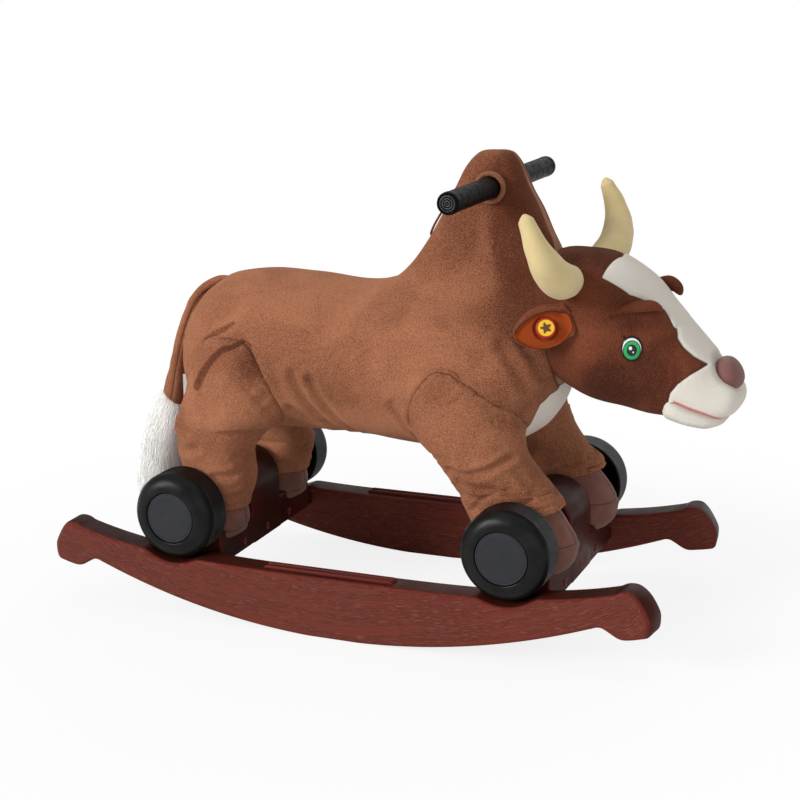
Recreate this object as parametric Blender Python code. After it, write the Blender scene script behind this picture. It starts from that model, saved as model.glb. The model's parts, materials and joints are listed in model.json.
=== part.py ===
"""Plush bull on four wheels, standing on a rocking base: the construction solids.

X runs forwards along the bull, Y to its left and Z up, in metres. Lengths along X are counted
from the middle of the wheelbase, and one empty moves the whole toy so that the frame's origin
is on the ground under the middle of its length.
"""

from math import cos, pi, radians, sin, sqrt

import bmesh
import bpy
import numpy as np

# Driving dimensions: the space between pieces that touch, then wheels and axles
GAP = 0.0004
WHEEL_RADIUS = 0.060
WHEEL_INNER_Y = 0.142
WHEEL_OUTER_Y = 0.1936
WHEEL_SIDES = 24
HUB_CAP_RADIUS = 0.035
AXLE_X = 0.2375
AXLE_Z = 0.1436
AXLE_RADIUS = 0.005
SLEEVE_RADIUS = 0.0085
SLEEVE_HALF_LENGTH = 0.136

# Runners
RUNNER_INNER_Y = 0.1513
RUNNER_OUTER_Y = 0.1908
ROCKING_RADIUS = 0.980
REST_HALF_LENGTH = 0.036
FACETS_EACH_WAY = 9
ROCKING_END_X = 0.357
RUNNER_TIP_X = 0.433
RUNNER_CROWN_X = 0.399
RUNNER_WAIST_Z = 0.085
RUNNER_CROWN_Z = 0.119
RUNNER_EDGE = 0.003
POCKET_RADIUS = 0.065
RIB_Y = (0.1655, 0.1765)
RIB_HALF_WIDTH = 0.003
RIB_X = (-0.105, 0.085)
RIB_Z = (0.080, 0.0895)

# Crossbars, each a front and a rear half shell with a round-topped upright
BAR_HALF_DEPTH = 0.0462
BAR_BOTTOM_Z = 0.063
BAR_TOP_Z = 0.110
UPRIGHT_HALF_WIDTH = 0.043
UPRIGHT_TOP_Z = 0.186
TAB_HALF_DEPTH = 0.032
TAB_END_Y = 0.160
TAB_BOTTOM_Z = 0.066
TAB_TOP_Z = 0.088
BAR_SCREW_Y = (-0.070, 0.0, 0.070)
BAR_SCREW_Z = 0.075
RUNNER_SCREW_AHEAD = 0.020
RUNNER_SCREW_Y = 0.1562

# Steel frame, handlebar and grips
HOOP_RADIUS = 0.0078
HOOP_HALF_WIDTH = 0.088
HOOP_BEND = 0.035
HOOP_KNEE_Z = 0.190
FRONT_HOOP_X = 0.168
REAR_HOOP_X = -0.195
SPINE_Z = 0.330
SPINE_RADIUS = 0.0075
BAR_TUBE_RADIUS = 0.0095
BAR_TUBE_WALL = 0.002
POST_RADIUS = 0.0085
GRIP_X = 0.1718
GRIP_Z = 0.585
GRIP_RADIUS = 0.0139
GRIP_INNER_Y = 0.026
GRIP_END_Y = 0.191
GRIP_WALL = 0.0045

# Head, jaw and tail
NOSE_TIP_X = 0.497
JAW_PIN = (0.412, 0.0, 0.309)
JAW_PIN_RADIUS = 0.0025
JAW_ROOM_RADIUS = 0.0138
JAW_ROOM_HALF_WIDTH = 0.0362
DRIVE_LOW = (0.352, -0.020, 0.3140)
DRIVE_HIGH = (0.3925, 0.020, 0.3440)
TAIL_PIN_X = (-0.225, -0.288)
TAIL_PIN_Z = 0.4175
TAIL_PIN_RADIUS = 0.003
TAIL_KNOB_RADIUS = 0.0088
TAIL_PIVOT_X = -0.2785

# Sound unit in the belly
SOUND_BOX_LOW = (-0.045, -0.028, 0.2440)
SOUND_BOX_HIGH = (0.045, 0.028, 0.2780)
DOOR_INSET = 0.003
DOOR_BOTTOM_Z = 0.2395

FRAME_SHIFT_X = (RUNNER_TIP_X - NOSE_TIP_X) / 2

# Finishes: name, colour, roughness and metallic value
RUNNER_PLASTIC = ("runner_plastic", (0.16, 0.045, 0.035), 0.45, 0.0)
BLACK_PLASTIC = ("black_plastic", (0.015, 0.016, 0.018), 0.40, 0.0)
HUB_PLASTIC = ("hub_plastic", (0.035, 0.037, 0.042), 0.50, 0.0)
GRIP_RUBBER = ("grip_rubber", (0.012, 0.013, 0.014), 0.60, 0.0)
STEEL = ("zinc_steel", (0.55, 0.56, 0.58), 0.35, 1.0)
SCREW_STEEL = ("red_brown_screw", (0.25, 0.04, 0.03), 0.35, 0.6)
PLUSH = ("brown_plush", (0.36, 0.15, 0.08), 0.95, 0.0)
HEAD_PLUSH = ("dark_brown_plush", (0.28, 0.10, 0.05), 0.95, 0.0)
WHITE_PLUSH = ("white_plush", (0.78, 0.76, 0.72), 0.95, 0.0)
HOOF_FABRIC = ("hoof_fabric", (0.17, 0.075, 0.05), 0.85, 0.0)
HORN_FABRIC = ("horn_fabric", (0.80, 0.68, 0.40), 0.85, 0.0)
NOSE_FABRIC = ("nose_fabric", (0.20, 0.075, 0.06), 0.80, 0.0)
EYE_PLASTIC = ("eye_plastic", (0.02, 0.25, 0.10), 0.10, 0.0)
BADGE_PLASTIC = ("badge_plastic", (0.75, 0.45, 0.05), 0.45, 0.0)
CASE_PLASTIC = ("case_plastic", (0.05, 0.05, 0.05), 0.50, 0.0)

SIDES = (("right", -1), ("left", 1))
AXLES = (("front", AXLE_X), ("rear", -AXLE_X))


def finish(spec):
    """The Principled material of one finish."""
    name, colour, roughness, metallic = spec
    material = bpy.data.materials.new(name)
    material.use_nodes = True
    shader = material.node_tree.nodes["Principled BSDF"]
    shader.inputs["Base Color"].default_value = (*colour, 1.0)
    shader.inputs["Roughness"].default_value = roughness
    shader.inputs["Metallic"].default_value = metallic
    material.diffuse_color = (*colour, 1.0)
    return material


def add_object(name, mesh, spec, toy, place=(0.0, 0.0, 0.0)):
    """One node of the toy, its origin at place."""
    obj = bpy.data.objects.new(name, mesh)
    obj.location = place
    obj.parent = toy
    bpy.context.scene.collection.objects.link(obj)
    if spec:
        mesh.materials.append(finish(spec))
    mesh.shade_smooth()
    mesh.set_sharp_from_angle(angle=radians(35))
    return obj


def add_cutter(name, mesh, toy, place=(0.0, 0.0, 0.0)):
    """A helper solid for a Boolean, left out of the toy itself."""
    obj = add_object(name, mesh, None, toy, place)
    obj.hide_render = True
    obj.display_type = "WIRE"
    return obj


def boolean(obj, other, operation):
    modifier = obj.modifiers.new(f"{operation.lower()}_{other.name}", "BOOLEAN")
    modifier.operation = operation
    modifier.object = other
    modifier.solver = "EXACT"


def cut(obj, *cutters):
    for cutter in cutters:
        boolean(obj, cutter, "DIFFERENCE")


def join(obj, *additions):
    for addition in additions:
        boolean(obj, addition, "UNION")


def bevel(obj, width, angle=40):
    """A flat chamfer along every edge sharper than the angle."""
    modifier = obj.modifiers.new("edge", "BEVEL")
    modifier.width = width
    modifier.segments = 1
    modifier.limit_method = "ANGLE"
    modifier.angle_limit = radians(angle)


def mesh_of(name, points, faces, split=False):
    """A mesh from points and faces, its faces turned outwards and, if asked, made triangles."""
    mesh = bpy.data.meshes.new(name)
    mesh.from_pydata([tuple(p) for p in points], [], faces)
    bm = bmesh.new()
    bm.from_mesh(mesh)
    if split:
        bmesh.ops.triangulate(bm, faces=bm.faces)
    bmesh.ops.recalc_face_normals(bm, faces=bm.faces)
    bm.to_mesh(mesh)
    bm.free()
    return mesh


def loft(name, rings, split=False):
    """A closed skin over rings of equal point count, its ends closed by one face each."""
    count = len(rings[0])
    points = np.concatenate([np.asarray(ring, float) for ring in rings])
    faces = []
    for k in range(len(rings) - 1):
        low, high = k * count, (k + 1) * count
        for i in range(count):
            j = (i + 1) % count
            faces.append((low + i, low + j, high + j, high + i))
    faces.append(tuple(range(count)))
    faces.append(tuple(range((len(rings) - 1) * count, len(rings) * count)))
    return mesh_of(name, points, faces, split)


def circle(sides):
    """Cosine and sine of each corner of a round section."""
    angles = np.arange(sides) * 2 * pi / sides
    return np.cos(angles), np.sin(angles)


def turned(name, profile, sides, axis=(0.0, 1.0, 0.0), centre=(0.0, 0.0, 0.0)):
    """A solid turned about an axis from (radius, height) points, with flat ends."""
    axis = np.asarray(axis, float) / np.linalg.norm(axis)
    spare = (1.0, 0.0, 0.0) if abs(axis[2]) > 0.9 else (0.0, 0.0, 1.0)
    first = np.cross(axis, spare)
    first /= np.linalg.norm(first)
    second = np.cross(axis, first)
    c, s = circle(sides)
    around = np.outer(c, first) + np.outer(s, second)
    return loft(name, [np.asarray(centre) + h * axis + r * around for r, h in profile])


def turned_ring(name, profile, sides):
    """A ring turned about Y from a closed loop of (radius, y) points."""
    count = len(profile)
    points = [(r * c, y, r * s) for c, s in zip(*circle(sides)) for r, y in profile]
    faces = []
    for k in range(sides):
        here, there = k * count, (k + 1) % sides * count
        for i in range(count):
            j = (i + 1) % count
            faces.append((here + i, here + j, there + j, there + i))
    return mesh_of(name, points, faces)


def tube(name, route, radii, sides=12):
    """A round bar along a route of points, its radius one value or one for each point."""
    route = np.asarray(route, float)
    radii = np.broadcast_to(radii, len(route))
    runs = np.diff(route, axis=0)
    runs /= np.linalg.norm(runs, axis=1)[:, None]
    tangents = np.concatenate([runs[:1], runs[:-1] + runs[1:], runs[-1:]])
    tangents /= np.linalg.norm(tangents, axis=1)[:, None]
    side = np.cross(tangents[0], (0.0, 0.0, 1.0))
    if np.linalg.norm(side) < 0.1:
        side = np.cross(tangents[0], (0.0, 1.0, 0.0))
    c, s = circle(sides)
    rings = []
    for point, tangent, radius in zip(route, tangents, radii):
        side = side - np.dot(side, tangent) * tangent
        side /= np.linalg.norm(side)
        rings.append(point + radius * (np.outer(c, side) + np.outer(s, np.cross(side, tangent))))
    return loft(name, rings)


def cross_rod(name, radius, reach, x=0.0, z=0.0, sides=16):
    """A round bar across the toy, reaching as far to its right as to its left."""
    return tube(name, [(x, -reach, z), (x, reach, z)], radius, sides)


def block(name, low, high):
    """A box from its lowest to its highest corner."""
    (x0, y0, z0), (x1, y1, z1) = low, high
    bottom = [(x0, y0, z0), (x1, y0, z0), (x1, y1, z0), (x0, y1, z0)]
    return loft(name, [bottom, [(x, y, z1) for x, y, _ in bottom]])


def prism(name, outline, y0, y1):
    """An outline of (x, z) points pushed out along Y."""
    return loft(name, [[(x, y, z) for x, z in outline] for y in (y0, y1)])


def swell(stations, sides, blunt=2.0, lower_blunt=None):
    """Rings of a stuffed form, each a rounded oval given by its middle and its half axes.

    A station is (centre, across, along): two half axes as vectors. A blunt of 2 gives an
    ellipse, and more gives a squarer oval, which the half below the middle may have alone.
    """
    c, s = circle(sides)
    power = 2 / np.where(s < -1e-9, lower_blunt or blunt, blunt)
    c = np.sign(c) * np.abs(c) ** power
    s = np.sign(s) * np.abs(s) ** power
    return [
        np.asarray(centre) + np.outer(c, across) + np.outer(s, along)
        for centre, across, along in stations
    ]


def grown(name, mesh, amount):
    """A copy of a form, pushed out along its normals, to cut its neighbours with."""
    copy = mesh.copy()
    copy.name = name
    bm = bmesh.new()
    bm.from_mesh(copy)
    bm.normal_update()
    for vertex in bm.verts:
        vertex.co += vertex.normal * amount * min(vertex.calc_shell_factor(), 3.0)
    bm.to_mesh(copy)
    bm.free()
    copy.materials.clear()
    return copy


def make_screw(toy, name, place, turn, profile, spec, holders):
    """A screw along its own Z, head first, and its hole in each piece that it holds."""
    sides, axis, entry = 10, (0.0, 0.0, 1.0), 0.030
    screw = add_object(name, turned(name, profile, sides, axis), spec, toy, place)
    screw.rotation_euler = turn
    bored = [(r + GAP, h + GAP) for r, h in profile]
    bored[0] = (profile[0][0] + GAP, profile[0][1] - entry)
    hole = add_cutter(f"{name}_hole", turned("hole", bored, sides, axis), toy, place)
    hole.rotation_euler = turn
    for holder in holders:
        cut(holder, hole)


# Rocking base


def runner_outline():
    """Side view of a runner: a faceted rocking arc, a stop foot at each end, and a dished top."""
    drop = sqrt(ROCKING_RADIUS**2 - REST_HALF_LENGTH**2)
    stations = np.linspace(REST_HALF_LENGTH, ROCKING_END_X, FACETS_EACH_WAY + 1)
    bottom = [(x, drop - sqrt(ROCKING_RADIUS**2 - x**2)) for x in stations]
    neck = [(0.368, 0.0680), (0.377, 0.0630), (0.384, 0.0580), (0.392, 0.0555)]
    foot = [(0.421, 0.0585), (0.428, 0.0630), (RUNNER_TIP_X, 0.080)]
    brow = [(0.431, 0.092), (0.422, 0.106), (0.411, 0.116)]
    crown = [(RUNNER_CROWN_X, RUNNER_CROWN_Z)]
    rise = RUNNER_CROWN_Z - RUNNER_WAIST_Z
    top = []
    for x in (0.386, 0.370, 0.350, 0.325, 0.300, 0.240, 0.180, 0.110, 0.0):
        top.append((x, RUNNER_WAIST_Z + rise * (x / RUNNER_CROWN_X) ** 3.6))
    half = bottom + neck + foot + brow + crown + top
    return half + [(-x, z) for x, z in reversed(half[:-1])]


def make_runner(toy, side_name, side):
    """A runner, with a pocket for each wheel, a socket for each crossbar tab and two foot ribs."""
    name = f"{side_name}_runner"
    inner, outer = side * RUNNER_INNER_Y, side * RUNNER_OUTER_Y
    runner = add_object(name, prism(name, runner_outline(), inner, outer), RUNNER_PLASTIC, toy)
    bevel(runner, RUNNER_EDGE, 60)
    for end, x in AXLES:
        pocket = cross_rod("pocket", POCKET_RADIUS, 0.25, sides=12)
        cut(runner, add_cutter(f"{name}_{end}_pocket", pocket, toy, (x, 0.0, AXLE_Z)))
        low, high = sorted((side * (RUNNER_INNER_Y - 0.01), side * (TAB_END_Y + GAP)))
        depth = TAB_HALF_DEPTH + GAP
        socket = block("socket", (x - depth, low, TAB_BOTTOM_Z - GAP),
                       (x + depth, high, TAB_TOP_Z + RUNNER_CROWN_Z - RUNNER_WAIST_Z))
        cut(runner, add_cutter(f"{name}_{end}_socket", socket, toy))
    for k, y in enumerate(RIB_Y):
        low, high = sorted((side * (y - RIB_HALF_WIDTH), side * (y + RIB_HALF_WIDTH)))
        rib = block("foot_rib", (RIB_X[0], low, RIB_Z[0]), (RIB_X[1], high, RIB_Z[1]))
        join(runner, add_cutter(f"{name}_foot_rib_{k + 1}", rib, toy))
    return runner


def upright_outline(direction):
    """Side view of half an upright, from the plane where the two shells meet outwards."""
    edge, split = BAR_HALF_DEPTH, GAP / 2
    centre_z = UPRIGHT_TOP_Z - edge
    dome = [(edge * cos(a), centre_z + edge * sin(a)) for a in np.linspace(0, pi / 2, 7)]
    outline = [(split, BAR_BOTTOM_Z), (edge, BAR_BOTTOM_Z), *dome[:-1], (split, UPRIGHT_TOP_Z)]
    return [(direction * x, z) for x, z in outline]


def half_block(name, direction, depth, reach, low_z, high_z):
    """A box across the toy on one side of the plane where the two shells meet."""
    near, far = sorted((direction * GAP / 2, direction * depth))
    return block(name, (near, -reach, low_z), (far, reach, high_z))


def make_crossbar(toy, end, x, runners):
    """Two half shells that close on the axle sleeve, screwed together and to the runners."""
    low, high = WHEEL_INNER_Y - 0.004, 0.2
    shells = []
    for half, direction in (("front", 1), ("rear", -1)):
        name = f"{end}_crossbar_{half}_half"
        place = (x, 0.0, 0.0)
        width = UPRIGHT_HALF_WIDTH
        upright = prism(name, upright_outline(direction), -width, width)
        shell = add_object(name, upright, RUNNER_PLASTIC, toy, place)
        beam = half_block("beam", direction, BAR_HALF_DEPTH, RUNNER_INNER_Y - GAP, BAR_BOTTOM_Z,
                          BAR_TOP_Z)
        tabs = half_block("tabs", direction, TAB_HALF_DEPTH, TAB_END_Y, TAB_BOTTOM_Z, TAB_TOP_Z)
        join(shell, add_cutter(f"{name}_beam", beam, toy, place))
        join(shell, add_cutter(f"{name}_tabs", tabs, toy, place))
        bore = cross_rod("bore", SLEEVE_RADIUS + GAP, 0.2, z=AXLE_Z)
        cut(shell, add_cutter(f"{name}_sleeve_bore", bore, toy, place))
        for side_name, side in SIDES:
            well = turned("wheel_well", [(POCKET_RADIUS, side * y) for y in (low, high)], 24)
            well_name = f"{name}_{side_name}_wheel_well"
            cut(shell, add_cutter(well_name, well, toy, (x, 0.0, AXLE_Z)))
        shells.append(shell)
    make_bar_screws(toy, end, x, shells)
    make_runner_screws(toy, end, x, shells[0], runners)


def make_bar_screws(toy, end, x, shells):
    """Three screws through both half shells, their heads in the front face."""
    head, head_depth, shank, proud, rear = 0.0050, 0.0040, 0.0021, 0.0012, 0.034
    face = -BAR_HALF_DEPTH - proud
    profile = [(head, face), (head, face + head_depth), (shank, face + head_depth), (shank, rear)]
    for k, y in enumerate(BAR_SCREW_Y):
        name = f"{end}_crossbar_screw_{k + 1}"
        make_screw(toy, name, (x, y, BAR_SCREW_Z), (0.0, -pi / 2, 0.0), profile, SCREW_STEEL, shells)


def make_runner_screws(toy, end, x, shell, runners):
    """A screw at each end of a crossbar, from below through its tab into the runner."""
    head, shank = 0.0042, 0.0017
    profile = [(head, 0.0595), (head, 0.0625), (shank, 0.0640), (shank, 0.0860)]
    for side_name, side in SIDES:
        place = (x + RUNNER_SCREW_AHEAD, side * RUNNER_SCREW_Y, 0.0)
        name = f"{end}_{side_name}_runner_screw"
        make_screw(toy, name, place, (0.0, 0.0, 0.0), profile, STEEL, [shell, runners[side_name]])


# Wheels and axles


def wheel_profile():
    """Half section of a blow-moulded wheel: hollow inner side, flat band, round shoulder."""
    inner, outer = WHEEL_INNER_Y, WHEEL_OUTER_Y
    bore, boss, face = AXLE_RADIUS + 0.00015, 0.014, outer - 0.007
    web, band_end, ring = inner + 0.028, 0.176, HUB_CAP_RADIUS + 0.001
    shoulder = [
        (ring + (WHEEL_RADIUS - ring) * cos(a), band_end + (outer - band_end) * sin(a))
        for a in np.linspace(0, pi / 2, 5)
    ]
    hollow = [(bore, inner + 0.004), (boss, inner + 0.004), (boss, web), (0.050, web)]
    rim = [(0.055, inner), (WHEEL_RADIUS, inner)]
    return hollow + rim + shoulder + [(HUB_CAP_RADIUS + 0.0005, face), (bore, face)]


def make_wheel(toy, end, x, side_name, side):
    """A wheel and the cap pressed into its hub."""
    place = (x, 0.0, AXLE_Z)
    name = f"{end}_{side_name}_wheel"
    profile = [(r, side * y) for r, y in wheel_profile()]
    add_object(name, turned_ring(name, profile, WHEEL_SIDES), BLACK_PLASTIC, toy, place)
    cap, outer, radius = f"{end}_{side_name}_hub_cap", WHEEL_OUTER_Y, HUB_CAP_RADIUS
    shape = [(radius, outer - 0.0066), (radius, outer - 0.0014), (radius - 0.0015, outer)]
    shape = [(r, side * y) for r, y in shape]
    add_object(cap, turned(cap, shape, WHEEL_SIDES), HUB_PLASTIC, toy, place)


def make_base(toy):
    runners = {side_name: make_runner(toy, side_name, side) for side_name, side in SIDES}
    for end, x in AXLES:
        make_crossbar(toy, end, x, runners)
        name = f"{end}_axle"
        axle = cross_rod(name, AXLE_RADIUS, WHEEL_OUTER_Y - 0.0084)
        add_object(name, axle, STEEL, toy, (x, 0.0, AXLE_Z))
        for side_name, side in SIDES:
            make_wheel(toy, end, x, side_name, side)


# Steel inside the plush


def hoop_route(x, top_x):
    """Centre line of the tube that stands on an axle sleeve and crosses inside the body."""
    y, bend = HOOP_HALF_WIDTH, HOOP_BEND
    foot_z = AXLE_Z + SLEEVE_RADIUS / 3
    right = [(x, -y, foot_z), (x, -y, HOOP_KNEE_Z), (top_x, -y, SPINE_Z - bend)]
    corner = [(top_x, bend * (1 - cos(a)) - y, SPINE_Z - bend + bend * sin(a))
              for a in np.linspace(pi / 6, pi / 2, 3)]
    return right + corner + [(px, -py, pz) for px, py, pz in reversed(right + corner)]


def make_leg_frame(toy, end, x, top_x):
    """Axle sleeve with the hoop tube welded on. The sleeve is bored for the axle."""
    name = f"{end}_leg_frame"
    sleeve = cross_rod(name, SLEEVE_RADIUS, SLEEVE_HALF_LENGTH, x, AXLE_Z)
    frame = add_object(name, sleeve, STEEL, toy)
    join(frame, add_cutter(f"{name}_hoop", tube("hoop", hoop_route(x, top_x), HOOP_RADIUS, 10), toy))
    bore = cross_rod("bore", AXLE_RADIUS + GAP, 0.2, x, AXLE_Z)
    cut(frame, add_cutter(f"{name}_bore", bore, toy))


def hoop_clearance(toy, end, x, top_x):
    shape = tube("hoop_clearance", hoop_route(x, top_x), HOOP_RADIUS + 2 * GAP, 10)
    return add_cutter(f"{end}_hoop_clearance", shape, toy)


def make_spine(toy, body):
    """A straight tube between the two hoops."""
    rear, front = REAR_HOOP_X + HOOP_RADIUS, FRONT_HOOP_X - HOOP_RADIUS
    ends = [(rear + 2 * GAP, 0.0, SPINE_Z), (front - 2 * GAP, 0.0, SPINE_Z)]
    add_object("spine_tube", tube("spine_tube", ends, SPINE_RADIUS), STEEL, toy)
    ends = [(rear - 0.005, 0.0, SPINE_Z), (front + 0.005, 0.0, SPINE_Z)]
    room = tube("spine_clearance", ends, SPINE_RADIUS + 2 * GAP)
    cut(body, add_cutter("spine_clearance", room, toy))


def make_handlebar(toy, body):
    """A T of tube: its post stands on the front hoop, and its ends carry the grips."""
    place = (GRIP_X, 0.0, GRIP_Z)
    bar = cross_rod("handlebar", BAR_TUBE_RADIUS, GRIP_END_Y - 0.005)
    handlebar = add_object("handlebar", bar, STEEL, toy, place)
    foot_z = SPINE_Z + HOOP_RADIUS + 3 * GAP - GRIP_Z
    post = tube("handle_post", [(0.0, 0.0, foot_z), (0.0, 0.0, 0.002)], POST_RADIUS)
    join(handlebar, add_cutter("handle_post", post, toy, place))
    bore = cross_rod("handlebar_bore", BAR_TUBE_RADIUS - BAR_TUBE_WALL, 0.2)
    cut(handlebar, add_cutter("handlebar_bore", bore, toy, place))
    ends = [(0.0, 0.0, SPINE_Z + 0.002 - GRIP_Z), (0.0, 0.0, 0.003)]
    room = tube("post_clearance", ends, POST_RADIUS + 2 * GAP)
    cut(body, add_cutter("post_clearance", room, toy, place))
    room = cross_rod("handlebar_clearance", BAR_TUBE_RADIUS + 2 * GAP, 0.2, sides=14)
    cut(body, add_cutter("handlebar_clearance", room, toy, place))


def make_grip(toy, body, side_name, side):
    """A rubber grip, open inboard where the handlebar goes in, with a closed outer end."""
    name = f"{side_name}_grip"
    place = (GRIP_X, 0.0, GRIP_Z)
    start, end, bore = GRIP_INNER_Y, GRIP_END_Y, BAR_TUBE_RADIUS + GAP
    flange, cap = GRIP_RADIUS + 0.0012, 0.0015
    profile = [
        (bore, start), (flange, start), (flange, start + 0.004), (GRIP_RADIUS, start + 0.006),
        (GRIP_RADIUS, end - 0.0035), (GRIP_RADIUS - 0.0025, end),
        (cap, end), (cap, end - GRIP_WALL), (bore, end - GRIP_WALL),
    ]
    shape = turned_ring(name, [(r, side * y) for r, y in profile], 16)
    add_object(name, shape, GRIP_RUBBER, toy, place)
    mouth = [(0.0, side * 0.2, 0.0), (0.0, side * (start - 4 * GAP), 0.0)]
    room = tube("grip_clearance", mouth, flange + 0.0014, 18)
    cut(body, add_cutter(f"{name}_clearance", room, toy, place))


# Stuffed body

BACK_Z = 0.453
HUMP_ROOT_Z = 0.393
HUMP_TAPER = 0.135
HUMP_ROOT_SHARE = 0.92

# Stations along the barrel: x, underside, top of the back, half width, half width of the hump
BARREL = (
    (-0.289, 0.322, 0.370, 0.028, 0.0),
    (-0.285, 0.294, 0.387, 0.051, 0.0),
    (-0.274, 0.267, 0.407, 0.073, 0.0),
    (-0.254, 0.248, 0.430, 0.091, 0.0),
    (-0.222, 0.238, 0.449, 0.103, 0.0),
    (-0.165, 0.235, 0.457, 0.108, 0.0),
    (-0.100, 0.236, 0.454, 0.108, 0.0),
    (-0.050, 0.237, 0.450, 0.106, 0.0),
    (0.000, 0.235, 0.450, 0.106, 0.002),
    (0.028, 0.232, 0.459, 0.108, 0.008),
    (0.050, 0.230, 0.480, 0.110, 0.016),
    (0.072, 0.229, 0.510, 0.112, 0.023),
    (0.094, 0.229, 0.546, 0.114, 0.029),
    (0.112, 0.230, 0.580, 0.115, 0.033),
    (0.128, 0.231, 0.609, 0.115, 0.036),
    (0.145, 0.232, 0.626, 0.115, 0.038),
    (0.168, 0.235, 0.629, 0.114, 0.039),
    (0.188, 0.240, 0.627, 0.112, 0.038),
    (0.200, 0.245, 0.612, 0.110, 0.036),
    (0.213, 0.252, 0.583, 0.106, 0.033),
    (0.226, 0.260, 0.560, 0.101, 0.031),
    (0.238, 0.270, 0.533, 0.093, 0.030),
    (0.250, 0.286, 0.509, 0.080, 0.028),
    (0.262, 0.310, 0.480, 0.060, 0.024),
    (0.270, 0.345, 0.445, 0.034, 0.016),
)


def body_ring(station, sides=24):
    """Cross-section of the body: a round barrel, with the shoulder hump as a ridge on it."""
    x, bottom, top, wide, ridge = station
    shoulder = min(top, BACK_Z) if ridge else top
    centre, half = (bottom + shoulder) / 2, (shoulder - bottom) / 2
    middle, reach = (bottom + top) / 2, (top - bottom) / 2
    flank = wide * HUMP_ROOT_SHARE
    points = []
    for c, s in zip(*circle(sides)):
        z = middle - reach * c
        level = np.clip((z - centre) / half, -1.0, 1.0)
        across = wide * sqrt(1 - level**2)
        if ridge and z > centre:
            taper = np.clip((z - HUMP_ROOT_Z) / HUMP_TAPER, 0.0, 1.0)
            crown = sqrt(1 - min((z - centre) / (top - centre), 1.0) ** 10)
            across = max(across, (flank + (ridge - flank) * sin(taper * pi / 2)) * crown)
        points.append((x, np.sign(round(s, 9)) * across, z))
    return points


def make_body(toy):
    """The body, and its clearance for the pieces sewn on to it."""
    mesh = loft("body_plush", [body_ring(station) for station in BARREL], split=True)
    body = add_object("body_plush", mesh, PLUSH, toy)
    clearance = add_cutter("body_clearance", grown("body_clearance", mesh, 2 * GAP), toy)
    return body, clearance


# Stuffed legs, stations from the top down: z, x of the rear edge, x of the front edge,
# y of the inner edge and y of the outer edge
FRONT_LEG = (
    (0.370, 0.124, 0.166, 0.060, 0.100),
    (0.362, 0.104, 0.186, 0.050, 0.118),
    (0.342, 0.088, 0.206, 0.042, 0.128),
    (0.310, 0.081, 0.224, 0.040, 0.133),
    (0.275, 0.079, 0.233, 0.042, 0.135),
    (0.245, 0.108, 0.242, 0.046, 0.135),
    (0.215, 0.138, 0.264, 0.050, 0.134),
    (0.192, 0.152, 0.284, 0.052, 0.134),
    (0.176, 0.166, 0.288, 0.053, 0.132),
)
HIND_LEG = (
    (0.378, -0.207, -0.164, 0.060, 0.100),
    (0.370, -0.227, -0.148, 0.050, 0.118),
    (0.348, -0.242, -0.132, 0.042, 0.129),
    (0.315, -0.251, -0.122, 0.040, 0.134),
    (0.280, -0.262, -0.123, 0.042, 0.136),
    (0.245, -0.272, -0.145, 0.046, 0.135),
    (0.215, -0.276, -0.160, 0.050, 0.134),
    (0.180, -0.280, -0.162, 0.052, 0.133),
    (0.146, -0.284, -0.171, 0.053, 0.131),
    (0.138, -0.280, -0.178, 0.055, 0.129),
)
FRONT_HOOF = (
    (0.1755, 0.178, 0.290, 0.056, 0.131),
    (0.160, 0.180, 0.302, 0.053, 0.134),
    (0.135, 0.182, 0.307, 0.052, 0.135),
    (0.116, 0.188, 0.303, 0.053, 0.134),
    (0.104, 0.198, 0.294, 0.057, 0.130),
    (0.098, 0.210, 0.282, 0.064, 0.122),
)
HIND_HOOF = (
    (0.1375, -0.279, -0.177, 0.056, 0.129),
    (0.128, -0.286, -0.173, 0.053, 0.133),
    (0.114, -0.288, -0.174, 0.052, 0.134),
    (0.102, -0.280, -0.179, 0.054, 0.133),
    (0.094, -0.268, -0.188, 0.058, 0.129),
    (0.089, -0.252, -0.204, 0.066, 0.120),
)


def limb_mesh(name, stations, side):
    """A stuffed limb: level ovals from the top down, on one side of the toy."""
    rings = []
    for z, rear, front, inner, outer in stations:
        centre = ((rear + front) / 2, side * (inner + outer) / 2, z)
        rings.append((centre, ((front - rear) / 2, 0, 0), (0, (outer - inner) / 2, 0)))
    return loft(name, swell(rings, 16, 2.3))


def bar_clearance(toy, end, x):
    """Room for a crossbar's beam and for the axle sleeve, which the hooves close round."""
    edge = BAR_HALF_DEPTH + GAP
    beam = block("beam", (x - edge, -0.16, 0.05), (x + edge, 0.16, BAR_TOP_Z + GAP))
    sleeve = cross_rod("sleeve", SLEEVE_RADIUS + GAP, 0.2, x, AXLE_Z)
    return [
        add_cutter(f"{end}_beam_clearance", beam, toy),
        add_cutter(f"{end}_sleeve_clearance", sleeve, toy),
    ]


def make_legs(toy, body, body_clearance):
    """Both steel leg frames, with the stuffed legs and hooves round them."""
    plans = (
        ("front", "front", AXLE_X, FRONT_HOOP_X, FRONT_LEG, FRONT_HOOF),
        ("rear", "hind", -AXLE_X, REAR_HOOP_X, HIND_LEG, HIND_HOOF),
    )
    for end, limb, x, top_x, leg_rows, hoof_rows in plans:
        make_leg_frame(toy, end, x, top_x)
        hoop = hoop_clearance(toy, end, x, top_x)
        cut(body, hoop)
        rooms = [hoop, *bar_clearance(toy, end, x)]
        for side_name, side in SIDES:
            name = f"{limb}_{side_name}_leg"
            leg = add_object(name, limb_mesh(name, leg_rows, side), PLUSH, toy)
            cut(leg, body_clearance, *rooms)
            name = f"{limb}_{side_name}_hoof"
            cut(add_object(name, limb_mesh(name, hoof_rows, side), HOOF_FABRIC, toy), *rooms)


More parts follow.
